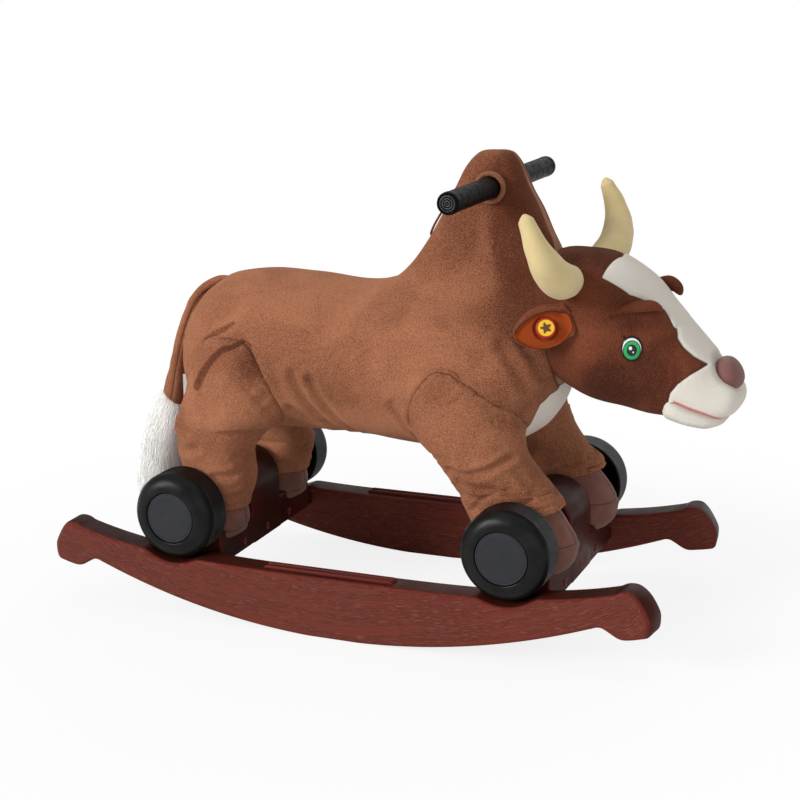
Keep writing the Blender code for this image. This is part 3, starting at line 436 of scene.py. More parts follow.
class Skin:
    """A mesh put together from grids of points, then made one object."""

    def __init__(self, name: str) -> None:
        self.name = name
        self.points: list[Array] = []
        self.faces: list[list[int]] = []
        self.fields: dict[str, list[Array]] = {}
        self.count = 0

    def add(self, grid: Array, fields: Fields | None = None, wrap: bool = True,
            close: bool = True) -> "Skin":
        """Adds a grid of points as a skin of quads, each open end closed to its own middle.

        Args:
            grid: (rows, columns, 3) points.
            fields: values at the grid's points: one for all, (rows, columns) or one more axis.
            wrap: whether the last column joins the first.
            close: whether the first and last rows are closed by a fan of triangles.
        """
        rows, columns = grid.shape[:2]
        r, c = np.meshgrid(np.arange(rows - 1), np.arange(columns - (not wrap)), indexing="ij")
        right = (c + 1) % columns
        quads = np.stack([r * columns + c, r * columns + right, (r + 1) * columns + right,
                          (r + 1) * columns + c], axis=-1).reshape(-1, 4)
        points = [grid.reshape(-1, 3)]
        values = {}
        for key, value in (fields or {}).items():
            whole = np.broadcast_to(value, (rows, columns) + np.shape(value)[2:])
            values[key] = [whole.reshape(rows * columns, -1)]
        fans = []
        if close and wrap:
            for row, hub in ((0, rows * columns), (rows - 1, rows * columns + 1)):
                start = row * columns + np.arange(columns)
                ring = np.stack([start, np.roll(start, -1)], axis=1)
                ring = ring[:, ::-1] if row == 0 else ring
                fans.append(np.column_stack([ring, np.full(columns, hub)]))
                for parts in (points, *values.values()):
                    parts.append(parts[0][start].mean(axis=0, keepdims=True))
        block = np.concatenate(points)
        turn = -1 if sum(space_under(block, faces) for faces in (quads, *fans)) < 0 else 1
        for faces in (quads, *fans):
            self.faces += (faces[:, ::turn] + self.count).tolist()
        self.points.append(block)
        for key, parts in values.items():
            self.fields.setdefault(key, []).append(np.concatenate(parts))
        self.count += len(block)
        return self

    def make(self, sharp: float | None = None, merge: float = 0.0) -> Thing:
        """The object, shaded smooth.

        Args:
            sharp: the angle in degrees past which an edge shows as an edge.
            merge: how near points are joined, or nought to leave them.
        """
        mesh = bpy.data.meshes.new(self.name)
        points = np.concatenate(self.points) + FRAME_SHIFT
        mesh.from_pydata(points.tolist(), [], self.faces)
        for key, parts in self.fields.items():
            values = np.concatenate(parts).astype(np.float32)
            kind, name = ("FLOAT_VECTOR", "vector") if values.shape[1] == 3 else ("FLOAT", "value")
            mesh.attributes.new(key, kind, "POINT").data.foreach_set(name, values.ravel())
        if merge:
            bm = bmesh.new()
            bm.from_mesh(mesh)
            bmesh.ops.remove_doubles(bm, verts=bm.verts, dist=merge)
            bmesh.ops.recalc_face_normals(bm, faces=bm.faces)
            bm.to_mesh(mesh)
            bm.free()
        mesh.shade_smooth()
        if sharp is not None:
            mesh.set_sharp_from_angle(angle=math.radians(sharp))
        return placed(self.name, mesh)


def mount(obj: Thing, material: Material, *nodes: str, body: str = "toy",
          slot: str = "", fill: float = 0.0) -> None:
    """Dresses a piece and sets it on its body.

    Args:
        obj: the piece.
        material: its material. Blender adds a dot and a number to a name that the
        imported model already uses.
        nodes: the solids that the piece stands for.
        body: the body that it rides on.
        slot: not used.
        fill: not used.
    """
    obj.data.materials.append(material)
    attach(obj, body)
    if nodes:
        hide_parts(*nodes)
    LOG.info("%s: %d faces on %s", obj.name, len(obj.data.polygons), body)


def rounded_prism(lower: Array, upper: Array, inner: float, outer: float, edge: float,
                  steps: int = 5, fill: int = 5) -> list[tuple[Array, Fields, bool]]:
    """Grids of a slab whose side view lies between two lines that share their ends.

    The rim is the closed outline moved in by edge (1 - sin a) as Y runs edge (1 - cos a) in from
    each flat side. Each side is then filled by straight rungs from the lower to the upper line.

    Args:
        lower: (points, 2) x and z along the underside.
        upper: (points, 2) x and z along the top, as many points.
        inner: Y of one flat side.
        outer: Y of the other.
        edge: radius of the rounded edges.
        steps: rows round each edge.
        fill: rows of faces on each flat side.
    """
    loop = np.vstack([lower, upper[-2:0:-1]])
    tangent = unit(np.roll(loop, -1, axis=0) - np.roll(loop, 1, axis=0))
    inward = np.stack([-tangent[:, 1], tangent[:, 0]], axis=1)
    if ((loop.mean(axis=0) - loop) * inward).sum() < 0:
        inward = -inward
    angle = np.linspace(0.0, math.pi / 2, steps + 1)
    inset, depth = edge * (1 - np.sin(angle)), np.sign(outer - inner) * edge * (1 - np.cos(angle))
    insets = np.concatenate([inset, inset[::-1]])[:, None]
    levels = np.concatenate([inner + depth, outer - depth[::-1]])[:, None]
    rim = loop + insets[..., None] * inward
    share = 1 - angle / angle[-1]
    band = np.clip(np.minimum(insets, edge - insets) / edge * 4, 0, 1)
    fields = {"wall": np.concatenate([share, share[::-1]])[:, None], "edge": band}
    parts = [(together(rim[..., 0], levels, rim[..., 1]), fields, True)]
    count = len(lower)
    for level, ring in ((inner, rim[0]), (outer, rim[-1])):
        high = np.vstack([ring[:1], ring[:count - 1:-1], ring[count - 1:count]])
        t = np.linspace(0.0, 1.0, fill + 1)[:, None, None]
        x, z = axes(ring[:count] * (1 - t) + high * t)
        parts.append((together(x, level, z), {"wall": 1.0, "edge": 0.0}, False))
    return parts


# Node materials


def linear(red: float, green: float, blue: float) -> Colour:
    """Scene colour of an 8-bit screen colour."""
    share = np.array((red, green, blue)) / 255.0
    r, g, b = np.where(share <= 0.04045, share / 12.92, ((share + 0.055) / 1.055) ** 2.4)
    return float(r), float(g), float(b), 1.0


Socket = bpy.types.NodeSocket
Feed = float | Colour | Socket


class Tree:
    """The nodes of a material or of the surround while they are put together."""

    def __init__(self, owner: Material | bpy.types.World) -> None:
        owner.use_nodes = True
        self.nodes, self.links = owner.node_tree.nodes, owner.node_tree.links
        self.nodes.clear()

    def put(self, socket: Socket, value: Feed) -> None:
        """Links a socket to another, or sets its value."""
        if isinstance(value, Socket):
            self.links.new(value, socket)
        else:
            socket.default_value = value

    def add(self, kind: str, feeds: dict[str | int, Feed] | None = None,
            **settings: str | bool) -> bpy.types.Node:
        """A node with its settings and its inputs."""
        node = self.nodes.new("ShaderNode" + kind)
        for key, value in settings.items():
            setattr(node, key, value)
        for key, value in (feeds or {}).items():
            self.put(node.inputs[key], value)
        return node


class Recipe(Tree):
    """A node material while it is put together round one Principled shader."""

    def __init__(self, name: str, **fixed: float | Colour) -> None:
        self.material = bpy.data.materials.new(name)
        super().__init__(self.material)
        self.shader = self.add("BsdfPrincipled")
        self.add("OutputMaterial", {"Surface": self.shader.outputs[0]})
        self.place = self.add("TexCoord").outputs["Object"]
        for key, value in fixed.items():
            self.feed(key.replace("_", " ").title().replace("Ior", "IOR"), value)

    def feed(self, name: str, value: Feed) -> None:
        """Gives the shader one of its inputs."""
        self.put(self.shader.inputs[name], value)

    def sum(self, kind: str, first: Feed, second: Feed = 0.0, clamp: bool = False) -> Socket:
        """One arithmetic step."""
        return self.add("Math", {0: first, 1: second}, operation=kind, use_clamp=clamp).outputs[0]

    def times(self, first: Feed, second: Feed) -> Socket:
        """A product."""
        return self.sum("MULTIPLY", first, second)

    def plus(self, first: Feed, second: Feed, clamp: bool = False) -> Socket:
        """A sum, kept between 0 and 1 where it is clamped."""
        return self.sum("ADD", first, second, clamp)

    def level(self, value: Feed, low: float, high: float, start: float = 0.0,
              end: float = 1.0) -> Socket:
        """A smooth step from start to end as the value goes from low to high."""
        feeds = dict(enumerate((value, low, high, start, end)))
        return self.add("MapRange", feeds, interpolation_type="SMOOTHSTEP").outputs[0]

    def mix(self, share: Feed, first: Feed, second: Feed) -> Socket:
        """A colour between two colours."""
        return self.add("Mix", {0: share, 6: first, 7: second}, data_type="RGBA").outputs[2]

    def scaled(self, stretch: Sequence[float], source: Socket | None = None) -> Socket:
        """Coordinates stretched along each axis."""
        return self.add("Mapping", {0: source or self.place, "Scale": stretch}).outputs[0]

    def noise(self, scale: float, detail: float = 3.0, source: Socket | None = None,
              warp: float = 0.0, rough: float = 0.5) -> Socket:
        """Cloudy noise between 0 and 1."""
        return self.add("TexNoise", {"Vector": source or self.place, "Scale": scale, "Detail": detail,
                                     "Distortion": warp, "Roughness": rough}).outputs["Fac"]

    def stored(self, name: str, output: str = "Fac") -> Socket:
        """A number stored at the mesh's points, or a vector by the output of that name."""
        return self.add("Attribute", attribute_name=name).outputs[output]

    def stitch(self, strength: float) -> Socket:
        """Share of stitching, from the stored distance to the nearest seam."""
        return self.level(self.sum("ABSOLUTE", self.stored("seam")), 0.0003, 0.0012, strength, 0.0)

    def relief(self, height: Socket, depth: float, below: Socket | None = None,
               strength: float = 1.0) -> Socket:
        """A bumped normal, on top of another where one is given."""
        feeds = {"Strength": strength, "Distance": depth, "Height": height}
        if below is not None:
            feeds["Normal"] = below
        return self.add("Bump", feeds).outputs["Normal"]

    def done(self, colour: Feed, roughness: Feed, normal: Socket | None = None) -> Material:
        """Feeds the shader its colour, roughness and normal, and gives the material."""
        self.feed("Base Color", colour)
        self.feed("Roughness", roughness)
        if normal is not None:
            self.feed("Normal", normal)
        return self.material


@dataclass(frozen=True)
class GrainedPlastic:
    """Moulded brown plastic: long raised grain on its walls, satin on top, redder edges."""

    name: str
    wall: Colour
    top: Colour
    edge: Colour
    fleck: Colour

    def material(self) -> Material:
        """Grain runs with the stored line of the runner: fine across it and long along it."""
        r = Recipe(self.name, Specular_IOR_Level=0.07)
        line = r.stored("grain", "Vector")
        wall, edge = r.stored("wall"), r.stored("edge")
        fine = r.noise(1.0, 3.0, r.scaled((60.0, 760.0, 760.0), line), 0.4)
        broad = r.noise(1.0, 2.0, r.scaled((9.0, 120.0, 120.0), line), 0.8)
        grain = r.times(r.level(fine, 0.42, 0.64), r.level(broad, 0.3, 0.56))
        raised = r.times(grain, wall)
        cloud = r.noise(7.0, 3.0)
        colour = r.mix(wall, self.top, self.wall)
        colour = r.mix(r.level(cloud, 0.3, 0.75, 0.0, 0.28), colour, self.edge)
        # Lighter raised grain: partly its own streaks, partly painted highlights on the ridges.
        colour = r.mix(r.times(raised, 0.34), colour, self.fleck)
        colour = r.mix(r.times(edge, 0.65), colour, self.edge)
        pores = r.noise(900.0, 2.0)
        rough = r.level(r.noise(40.0, 4.0), 0.3, 0.7, 0.3, 0.42)
        normal = r.relief(raised, 0.001, r.relief(pores, 0.0001))
        return r.done(colour, rough, normal)


@dataclass(frozen=True)
class SatinPlastic:
    """Plain moulded plastic with a faint mould texture and scuffs."""

    name: str
    colour: Colour
    worn: Colour
    roughness: float = 0.42
    grain: float = 1400.0
    depth: float = 0.00006
    share: float = 0.25
    gloss: float = 0.45

    def material(self) -> Material:
        """Base colour drifting to the worn colour in soft clouds."""
        r = Recipe(self.name, Specular_IOR_Level=self.gloss)
        cloud = r.level(r.noise(38.0, 4.0), 0.42, 0.72, 0.0, self.share)
        colour = r.mix(cloud, self.colour, self.worn)
        rough = r.level(r.noise(90.0, 3.0), 0.3, 0.75, self.roughness, self.roughness + 0.12)
        return r.done(colour, rough, r.relief(r.noise(self.grain, 2.0), self.depth))


@dataclass(frozen=True)
class StippledRubber:
    """Black grip rubber covered with small raised dots."""

    name: str
    colour: Colour
    worn: Colour

    def material(self) -> Material:
        """Raised dots from scattered cells, greyer on their tops as wear and painted glints."""
        r = Recipe(self.name, Specular_IOR_Level=0.05)
        cells = r.add("TexVoronoi", {"Vector": r.place, "Scale": 560.0}).outputs["Distance"]
        dots = r.level(cells, 0.12, 0.5, 1.0, 0.0)
        # The greyer dot tops are partly wear and partly painted glints.
        colour = r.mix(r.times(dots, 0.22), self.colour, self.worn)
        rough = r.level(r.noise(120.0, 3.0), 0.3, 0.7, 0.3, 0.5)
        return r.done(colour, rough, r.relief(dots, 0.0007))


@dataclass(frozen=True)
class Steel:
    """Plated or painted steel with fine drawing marks."""

    name: str
    colour: Colour
    worn: Colour
    metallic: float = 1.0
    roughness: float = 0.32

    def material(self) -> Material:
        """Metal broken up by clouds of wear and by fine scratches."""
        r = Recipe(self.name, Metallic=self.metallic)
        wear = r.level(r.noise(60.0, 5.0), 0.4, 0.75, 0.0, 0.45)
        rough = r.level(r.noise(300.0, 3.0), 0.3, 0.7, self.roughness, self.roughness + 0.18)
        marks = r.noise(1.0, 2.0, r.scaled((2500.0, 60.0, 2500.0)))
        return r.done(r.mix(wear, self.colour, self.worn), rough, r.relief(marks, 0.00003))


@dataclass(frozen=True)
class Plush:
    """Short-pile plush: nap brushed light and dark, painted light, shade and sheen, sewn seams and inset
    panels.
    """

    name: str
    tip: Colour
    root: Colour
    panel: Colour
    seam: Colour
    pale: Colour
    sheen: float = 0.36
    pile: float = 1000.0
    speckle: float = 0.44
    patch: float = 0.1
    depth: float = 0.001

    def material(self) -> Material:
        """Colour: pile speckle, soft patches, stored brush marks with painted light and shade, painted
        sheen, panels.
        """
        r = Recipe(self.name, Specular_IOR_Level=0.12, Sheen_Weight=self.sheen,
                   Sheen_Roughness=0.45, Sheen_Tint=self.pale)
        tips = r.noise(self.pile, 2.0, warp=0.3, rough=0.6)
        clumps = r.noise(170.0, 2.0, warp=0.4)
        patches = r.noise(13.0, 1.5, warp=0.6)
        nap = r.level(tips, 0.28, 0.72, -self.speckle, self.speckle)
        nap = r.plus(nap, r.level(clumps, 0.3, 0.7, -0.03, 0.03))
        nap = r.plus(nap, r.level(patches, 0.35, 0.65, -self.patch, self.patch))
        # The stored field adds brush marks and painted light and shade: a lit belly band, shade under the
        # ear, head and brows, and in the ear's root crease.
        nap = r.plus(r.plus(nap, r.stored("nap")), 0.5, clamp=True)
        brown = r.mix(nap, self.root, self.tip)
        # Paler where stored: tan cloth with painted sheen on the neck gusset and chest front seen edge-on.
        brown = r.mix(r.stored("tan"), brown, self.pale)
        fleece = r.mix(r.level(tips, 0.3, 0.7, 0.0, 0.6), self.panel, shade(self.panel, 0.84))
        inset = r.level(r.stored("white"), -0.0004, 0.0004)
        colour = r.mix(inset, brown, fleece)
        colour = r.mix(r.stored("lip"), colour, linear(226, 146, 146))
        stitch = r.stitch(0.8)
        colour = r.mix(stitch, colour, self.seam)
        below = r.relief(clumps, self.depth * 0.8, strength=0.5)
        return r.done(colour, 0.95, r.relief(tips, self.depth, below, 0.75))


def shade(colour: Colour, share: float) -> Colour:
    """A colour made darker by a share."""
    return colour[0] * share, colour[1] * share, colour[2] * share, 1.0


@dataclass(frozen=True)
class Weave:
    """Smooth knitted or woven cloth with fine ribs across one axis."""

    name: str
    colour: Colour
    dark: Colour
    ribs: float = 320.0
    way: str = "Z"
    sheen: float = 0.15
    depth: float = 0.0004

    def material(self) -> Material:
        """Fine ribs broken by noise, darker between them and along the stored seams."""
        r = Recipe(self.name, Specular_IOR_Level=0.2, Sheen_Weight=self.sheen, Sheen_Roughness=0.5)
        ribs = r.add("TexWave", {"Vector": r.place, "Scale": self.ribs, "Distortion": 1.2},
                     bands_direction=self.way).outputs["Fac"]
        threads = r.noise(700.0, 3.0)
        clouds = r.noise(45.0, 4.0)
        share = r.plus(r.level(ribs, 0.2, 0.8, 0.28, 0.0), r.level(clouds, 0.3, 0.7, 0.3, 0.0))
        share = r.plus(share, r.level(threads, 0.3, 0.7, 0.2, 0.0), clamp=True)
        stitch = r.stitch(0.75)
        colour = r.mix(stitch, r.mix(share, self.colour, self.dark), shade(self.dark, 0.55))
        return r.done(colour, 0.85, r.relief(ribs, self.depth, r.relief(threads, 0.0004, strength=0.6),
                                             0.6))


class Finishes:
    """Every material of the toy, made once."""

    def __init__(self) -> None:
        pale, white, rose = linear(196, 144, 114), linear(220, 214, 203), linear(170, 112, 86)
        seam, snow = linear(72, 34, 24), linear(250, 249, 246)
        self.runner = GrainedPlastic("runner_plastic", linear(104, 50, 40), linear(44, 21, 16),
                                     linear(112, 42, 32), linear(150, 98, 86)).material()
        self.tyre = SatinPlastic("wheel_plastic", linear(13, 14, 14), linear(34, 36, 34), 0.3,
                                 900.0, 0.00008, 0.35, 0.16).material()
        self.hub = SatinPlastic("hub_plastic", linear(34, 35, 40), linear(42, 43, 48), 0.6,
                                gloss=0.3).material()
        # The grip's second colour is wear and painted glints on the dot tops.
        self.grip = StippledRubber("grip_rubber", linear(6, 7, 7), linear(50, 52, 53)).material()
        self.grip_end = SatinPlastic("grip_end", linear(22, 23, 24), linear(96, 98, 100), 0.35,
                                     420.0, 0.0009, 0.6).material()
        self.steel = Steel("zinc_steel", linear(190, 192, 196), linear(130, 130, 134)).material()
        self.screw = Steel("red_brown_screw", linear(120, 34, 26), linear(76, 22, 18), 0.5,
                           0.3).material()
        self.case = SatinPlastic("case_plastic", linear(60, 58, 56), linear(80, 78, 76),
                                 0.5).material()
        self.plush = Plush("brown_plush", linear(176, 117, 86), linear(86, 44, 28), white, seam,
                           pale).material()
        self.head = Plush("head_plush", linear(128, 70, 47), linear(52, 25, 17), white, seam, rose,
                          0.2, speckle=0.34, patch=0.17).material()
        self.ear = Plush("ear_plush", linear(142, 84, 58), linear(82, 42, 28), linear(150, 64, 24),
                         seam, rose, 0.2).material()
        self.fleece = Plush("white_plush", white, shade(white, 0.86), white, linear(190, 176, 166),
                            white, 0.2).material()
        self.pile = Plush("tuft_pile", snow, shade(snow, 0.92), snow, snow, snow, 0.5, 300.0,
                          depth=0.0002).material()
        self.hoof = Weave("hoof_fabric", linear(136, 92, 79), linear(94, 58, 48)).material()
        self.horn = Weave("horn_fabric", linear(218, 198, 148), linear(198, 175, 124), 420.0,
                          depth=0.00015).material()
        self.nose = Weave("nose_fabric", linear(140, 96, 88), linear(96, 58, 54), 300.0, "Z", 0.2,
                          0.0006).material()
        self.lash = SatinPlastic("lash_thread", linear(18, 16, 16), linear(40, 36, 34),
                                 0.7).material()
        self.label = Weave("blank_label", linear(206, 206, 204), linear(178, 178, 177), 900.0, "X",
                           0.0, 0.0001).material()


# Camera, lights and floor


@dataclass
class Studio:
    """Plain pale floor and soft lamps, with the camera where the photograph was taken from."""

    place: tuple[float, float, float] = (0.8649, -2.0298, 0.8678)
    yaw: float = 23.293
    pitch: float = -14.833
    roll: float = -1.304
    lens: float = 74.78
    floor_half: float = 12.0

    def camera(self) -> None:
        """Looks along the yaw and pitch, then leans by the roll."""
        a, e, r = (math.radians(v) for v in (self.yaw, self.pitch, self.roll))
        ahead = Vector((-math.sin(a) * math.cos(e), math.cos(a) * math.cos(e), math.sin(e)))
        right = ahead.cross(Vector((0, 0, 1))).normalized()
        up = right.cross(ahead)
        right, up = (math.cos(r) * right + math.sin(r) * up, math.cos(r) * up - math.sin(r) * right)
        data = bpy.data.cameras.new("camera")
        data.lens, data.sensor_width = self.lens, 36.0
        data.clip_start, data.clip_end = 0.05, 50.0
        camera = placed("camera", data)
        turn = Matrix((right, up, -ahead)).transposed().to_4x4()
        camera.matrix_world = Matrix.Translation(self.place) @ turn
        bpy.context.scene.camera = camera

    def lamp(self, name: str, place: Sequence[float], strength: float, spread: float) -> None:
        """A far soft lamp that shines from that way on to the toy."""
        data = bpy.data.lights.new(name, "SUN")
        data.energy, data.angle = strength, math.radians(spread)
        placed(name, data).rotation_euler = (-Vector(place)).to_track_quat("-Z", "Y").to_euler()

    def world(self) -> None:
        """A white surround for the camera, and a dimmer one for the light that it gives."""
        world = bpy.data.worlds.new("studio")
        bpy.context.scene.world = world
        tree = Tree(world)
        seen = tree.add("LightPath").outputs["Is Camera Ray"]
        light = tree.add("Background", {"Color": WHITE, "Strength": 0.36}).outputs[0]
        white = tree.add("Background", {"Color": WHITE}).outputs[0]
        join = tree.add("MixShader", {0: seen, 1: light, 2: white}).outputs[0]
        tree.add("OutputWorld", {"Surface": join})

    def floor(self) -> None:
        """A wide white floor. It keeps a soft shadow near the toy and is plain white further off."""
        mesh = bpy.data.meshes.new("floor")
        half = self.floor_half
        corners = [(-half, -half, 0), (half, -half, 0), (half, half, 0), (-half, half, 0)]
        mesh.from_pydata(corners, [], [(0, 1, 2, 3)])
        r = Recipe("floor", Specular_IOR_Level=0.0, Emission_Color=WHITE)
        cloud = r.level(r.noise(1.5, 2.0), 0.3, 0.7, 0.9, 0.93)
        length = r.add("VectorMath", {0: r.place}, operation="LENGTH").outputs["Value"]
        seen = r.add("LightPath").outputs["Is Camera Ray"]
        glow = r.times(r.level(length, 0.45, 1.0, 0.84, 1.0), seen)
        r.feed("Emission Strength", glow)
        grey = r.times(cloud, r.sum("SUBTRACT", 1.0, glow))
        join = r.add("CombineColor", {k: grey for k in range(3)})
        mesh.materials.append(r.done(join.outputs[0], 0.9))
        placed("floor", mesh)

    def build(self) -> None:
        """Camera first, then the lamps, the surround and the floor."""
        bpy.context.scene.view_settings.view_transform = "Standard"
        self.camera()
        self.lamp("key", (-0.66, -0.76, 0.45), 2.5, 24.0)
        self.lamp("fill", (0.7, -0.72, 0.12), 0.62, 60.0)
        self.lamp("back", (0.1, 0.85, 0.5), 0.55, 60.0)
        self.lamp("top", (0.1, -0.1, 1.0), 0.5, 70.0)
        self.world()
        self.floor()


# Rocking base


@dataclass
class Runner:
    """One rocker: a slab between its rocking arc and its dished top, scooped for both wheels."""

    side: Side
    finishes: Finishes
    inner: float = 0.1513
    outer: float = 0.1908
    edge: float = 0.0046
    arc: float = 0.98
    rest: float = 0.036
    waist: float = 0.085
    rise: float = 0.034
    crown: float = 0.399
    scoop: float = 0.065
    soft: float = 0.0022
    axle_height: float = 0.1436

    def mirrored(self, half: Array, count: int) -> Array:
        """A line from the middle to one end, joined to its mirror image and cut evenly."""
        return even_steps(np.vstack([half[:0:-1] * (-1, 1), half]), count)

    def lower(self, count: int) -> Array:
        """The rocking arc from tail to toe, with a stop foot at each end."""
        drop = math.sqrt(self.arc**2 - self.rest**2)
        x = np.linspace(self.rest, 0.352, 60)
        arc = together(x, drop - np.sqrt(self.arc**2 - x**2))
        toe = even_curve([(0.352, 0.0644), (0.36, 0.0676), (0.367, 0.0674), (0.376, 0.0628),
                          (0.3855, 0.0574), (0.393, 0.0556), (0.401, 0.0564), (0.4215, 0.0602),
                          (0.4295, 0.0632), (0.4324, 0.07), (0.433, 0.08)], 90)[1:]
        return self.mirrored(np.vstack([[(0.0, 0.0)], arc, toe]), count)

    def upper(self, count: int) -> Array:
        """The dished top, z = waist + rise |x / crown|^3.6, less a scoop round each wheel."""
        x = np.linspace(0.0, 0.383, 300)
        top = self.waist + self.rise * (x / self.crown) ** 3.6
        reach = np.clip(self.scoop**2 - (x - End.FRONT.value) ** 2, 1e-9, None)
        well = np.where(reach > 1e-8, self.axle_height - np.sqrt(reach), 1.0)
        gap = np.clip((top - well) / self.soft, -30.0, 30.0)
        top = top - self.soft * np.log1p(np.exp(gap))
        scroll = even_curve([(0.383, 0.1145), (0.3905, 0.1183), (0.398, 0.1196), (0.4055, 0.1188),
                             (0.4125, 0.115), (0.419, 0.1092), (0.4246, 0.1015),
                             (0.4292, 0.093), (0.4322, 0.0862), (0.433, 0.08)], 70)[1:]
        return self.mirrored(np.vstack([together(x, top), scroll]), count)

    def grain(self, grid: Array) -> Array:
        """Grain coordinates: along the arc, out from its middle, and across."""
        x, y, z = axes(grid)
        return together(self.arc * np.arctan2(x, self.arc - z), y, np.hypot(x, self.arc - z))

    def build(self) -> None:
        """The slab and its two raised foot ribs."""
        sign = self.side.value
        name = f"{self.side.label}_runner"
        skin = Skin(name)
        for grid, fields, wrap in rounded_prism(self.lower(280), self.upper(280), sign * self.inner,
                                                sign * self.outer, self.edge):
            fields["grain"] = self.grain(grid)
            cheek = ease(0.011, 0.0, self.outer - np.abs(grid[..., 1]))
            tip = ease(0.4, 0.426, np.abs(grid[..., 0]))
            grid[..., 0] -= 0.0065 * np.sign(grid[..., 0]) * cheek * tip
            skin.add(grid, fields, wrap, close=False)
        mount(skin.make(merge=MERGE), self.finishes.runner, name)
        for k, y in enumerate((0.1655, 0.1765)):
            x = np.linspace(-0.105, 0.085, 90)[:, None]
            end = np.minimum(x + 0.105, 0.085 - x)
            height, half = (size * np.sqrt(np.clip(1 - (1 - np.clip(end / run, 0, 1)) ** 2, low, 1))
                            for size, run, low in ((0.0045, 0.006, 0), (0.0032, 0.004, 0.02)))
            c, s = oval(20, 3.0)
            grid = together(x, sign * y + half * c, 0.0848 + height * s)
            fields = {"wall": 0.0, "edge": np.abs(c) > 0.5, "grain": self.grain(grid)}
            rib = Skin(f"{name}_foot_rib_{k + 1}").add(grid, fields)
            mount(rib.make(), self.finishes.runner)


@dataclass
class Crossbar:
    """A crossbar of two half shells with a round-topped upright, screwed together."""

    end: End
    finishes: Finishes
    depth: float = 0.0462
    split: float = 0.0003
    bottom: float = 0.063
    top: float = 0.11
    upright_half: float = 0.043
    dome_height: float = 0.186
    edge: float = 0.0026

    def slab(self, skin: Skin, way: float, half: float, lower: Line, upper: Line, count: int,
             *steps: int) -> None:
        """Adds a slab between two lines in x and z, written from the crossbar's middle."""
        lines = [even_steps(np.array(line), count) * (way, 1) + (self.end.value, 0)
                 for line in (lower, upper)]
        for grid, fields, wrap in rounded_prism(*lines, -half, half, self.edge, *steps):
            skin.add(grid, {**fields, "grain": grid, "wall": 0.0}, wrap, close=False)

    def half_shell(self, half: str, way: float) -> None:
        """A half shell: the upright, the beam and the low ends under the wheels."""
        name = f"{self.end.label}_crossbar_{half}_half"
        skin = Skin(name)
        centre = self.dome_height - self.depth
        angle = np.linspace(math.pi / 2, 0.0, 24)
        dome = together(self.depth * np.cos(angle), centre + self.depth * np.sin(angle))
        foot = (self.split, self.bottom)
        self.slab(skin, way, self.upright_half,
                  (foot, (self.depth, self.bottom), (self.depth, centre)),
                  (foot, (self.split, self.dome_height), *dome), 60)
        for wide, low, high, inset in ((0.1375, 0.0003, self.top, 0.0005),
                                       (0.1509, 0.0006, 0.078, 0.001)):
            near, low, deep = self.split + inset, self.bottom + low, self.depth - inset
            side = (deep, (low + high) / 2)
            self.slab(skin, way, wide, ((near, low), (deep, low), side),
                      ((near, low), (near, high), (deep, high), side), 24, 4, 3)
        mount(skin.make(35, MERGE), self.finishes.runner, name)

    def screw(self, name: str, place: Sequence[float], axis: Sequence[float], radius: float,
              material: Material, slot: str) -> None:
        """A pan head with a cross recess: depth falls where the angle is near an arm of the cross."""
        share = np.linspace(1.0, 0.02, 14)
        profile = np.vstack([(radius * 0.96, -0.0045), (radius, -0.0004),
                             together(radius * share, 0.0013 * np.sqrt(1 - share**2 * 0.98))])
        out = profile[:, :1] / radius
        arm = np.abs(np.sin(2 * angles(40))) * out
        cross = (1 - ease(0.1, 0.3, arm)) * (1 - ease(0.45, 0.62, out))
        grid = pushed(turned(profile, 40, place, axis), -0.0014 * cross * (profile[:, 1:] > 0),
                      np.asarray(axis, float))
        mount(Skin(name).add(grid).make(50), material, name, slot=slot)

    def build(self) -> None:
        """Both half shells with their screws."""
        self.half_shell("front", 1.0)
        self.half_shell("rear", -1.0)
        x, label = self.end.value, self.end.label
        for k, y in enumerate((-0.07, 0.0, 0.07)):
            self.screw(f"{label}_crossbar_screw_{k + 1}", (x + self.depth, y, 0.075), (1, 0, 0),
                       0.0052, self.finishes.screw, "screw_steel")
        for side in Side:
            place = (x + 0.02, side.value * 0.1562, 0.0605)
            self.screw(f"{label}_{side.label}_runner_screw", place, (0, 0, -1), 0.0042,
                       self.finishes.steel, "zinc_steel")


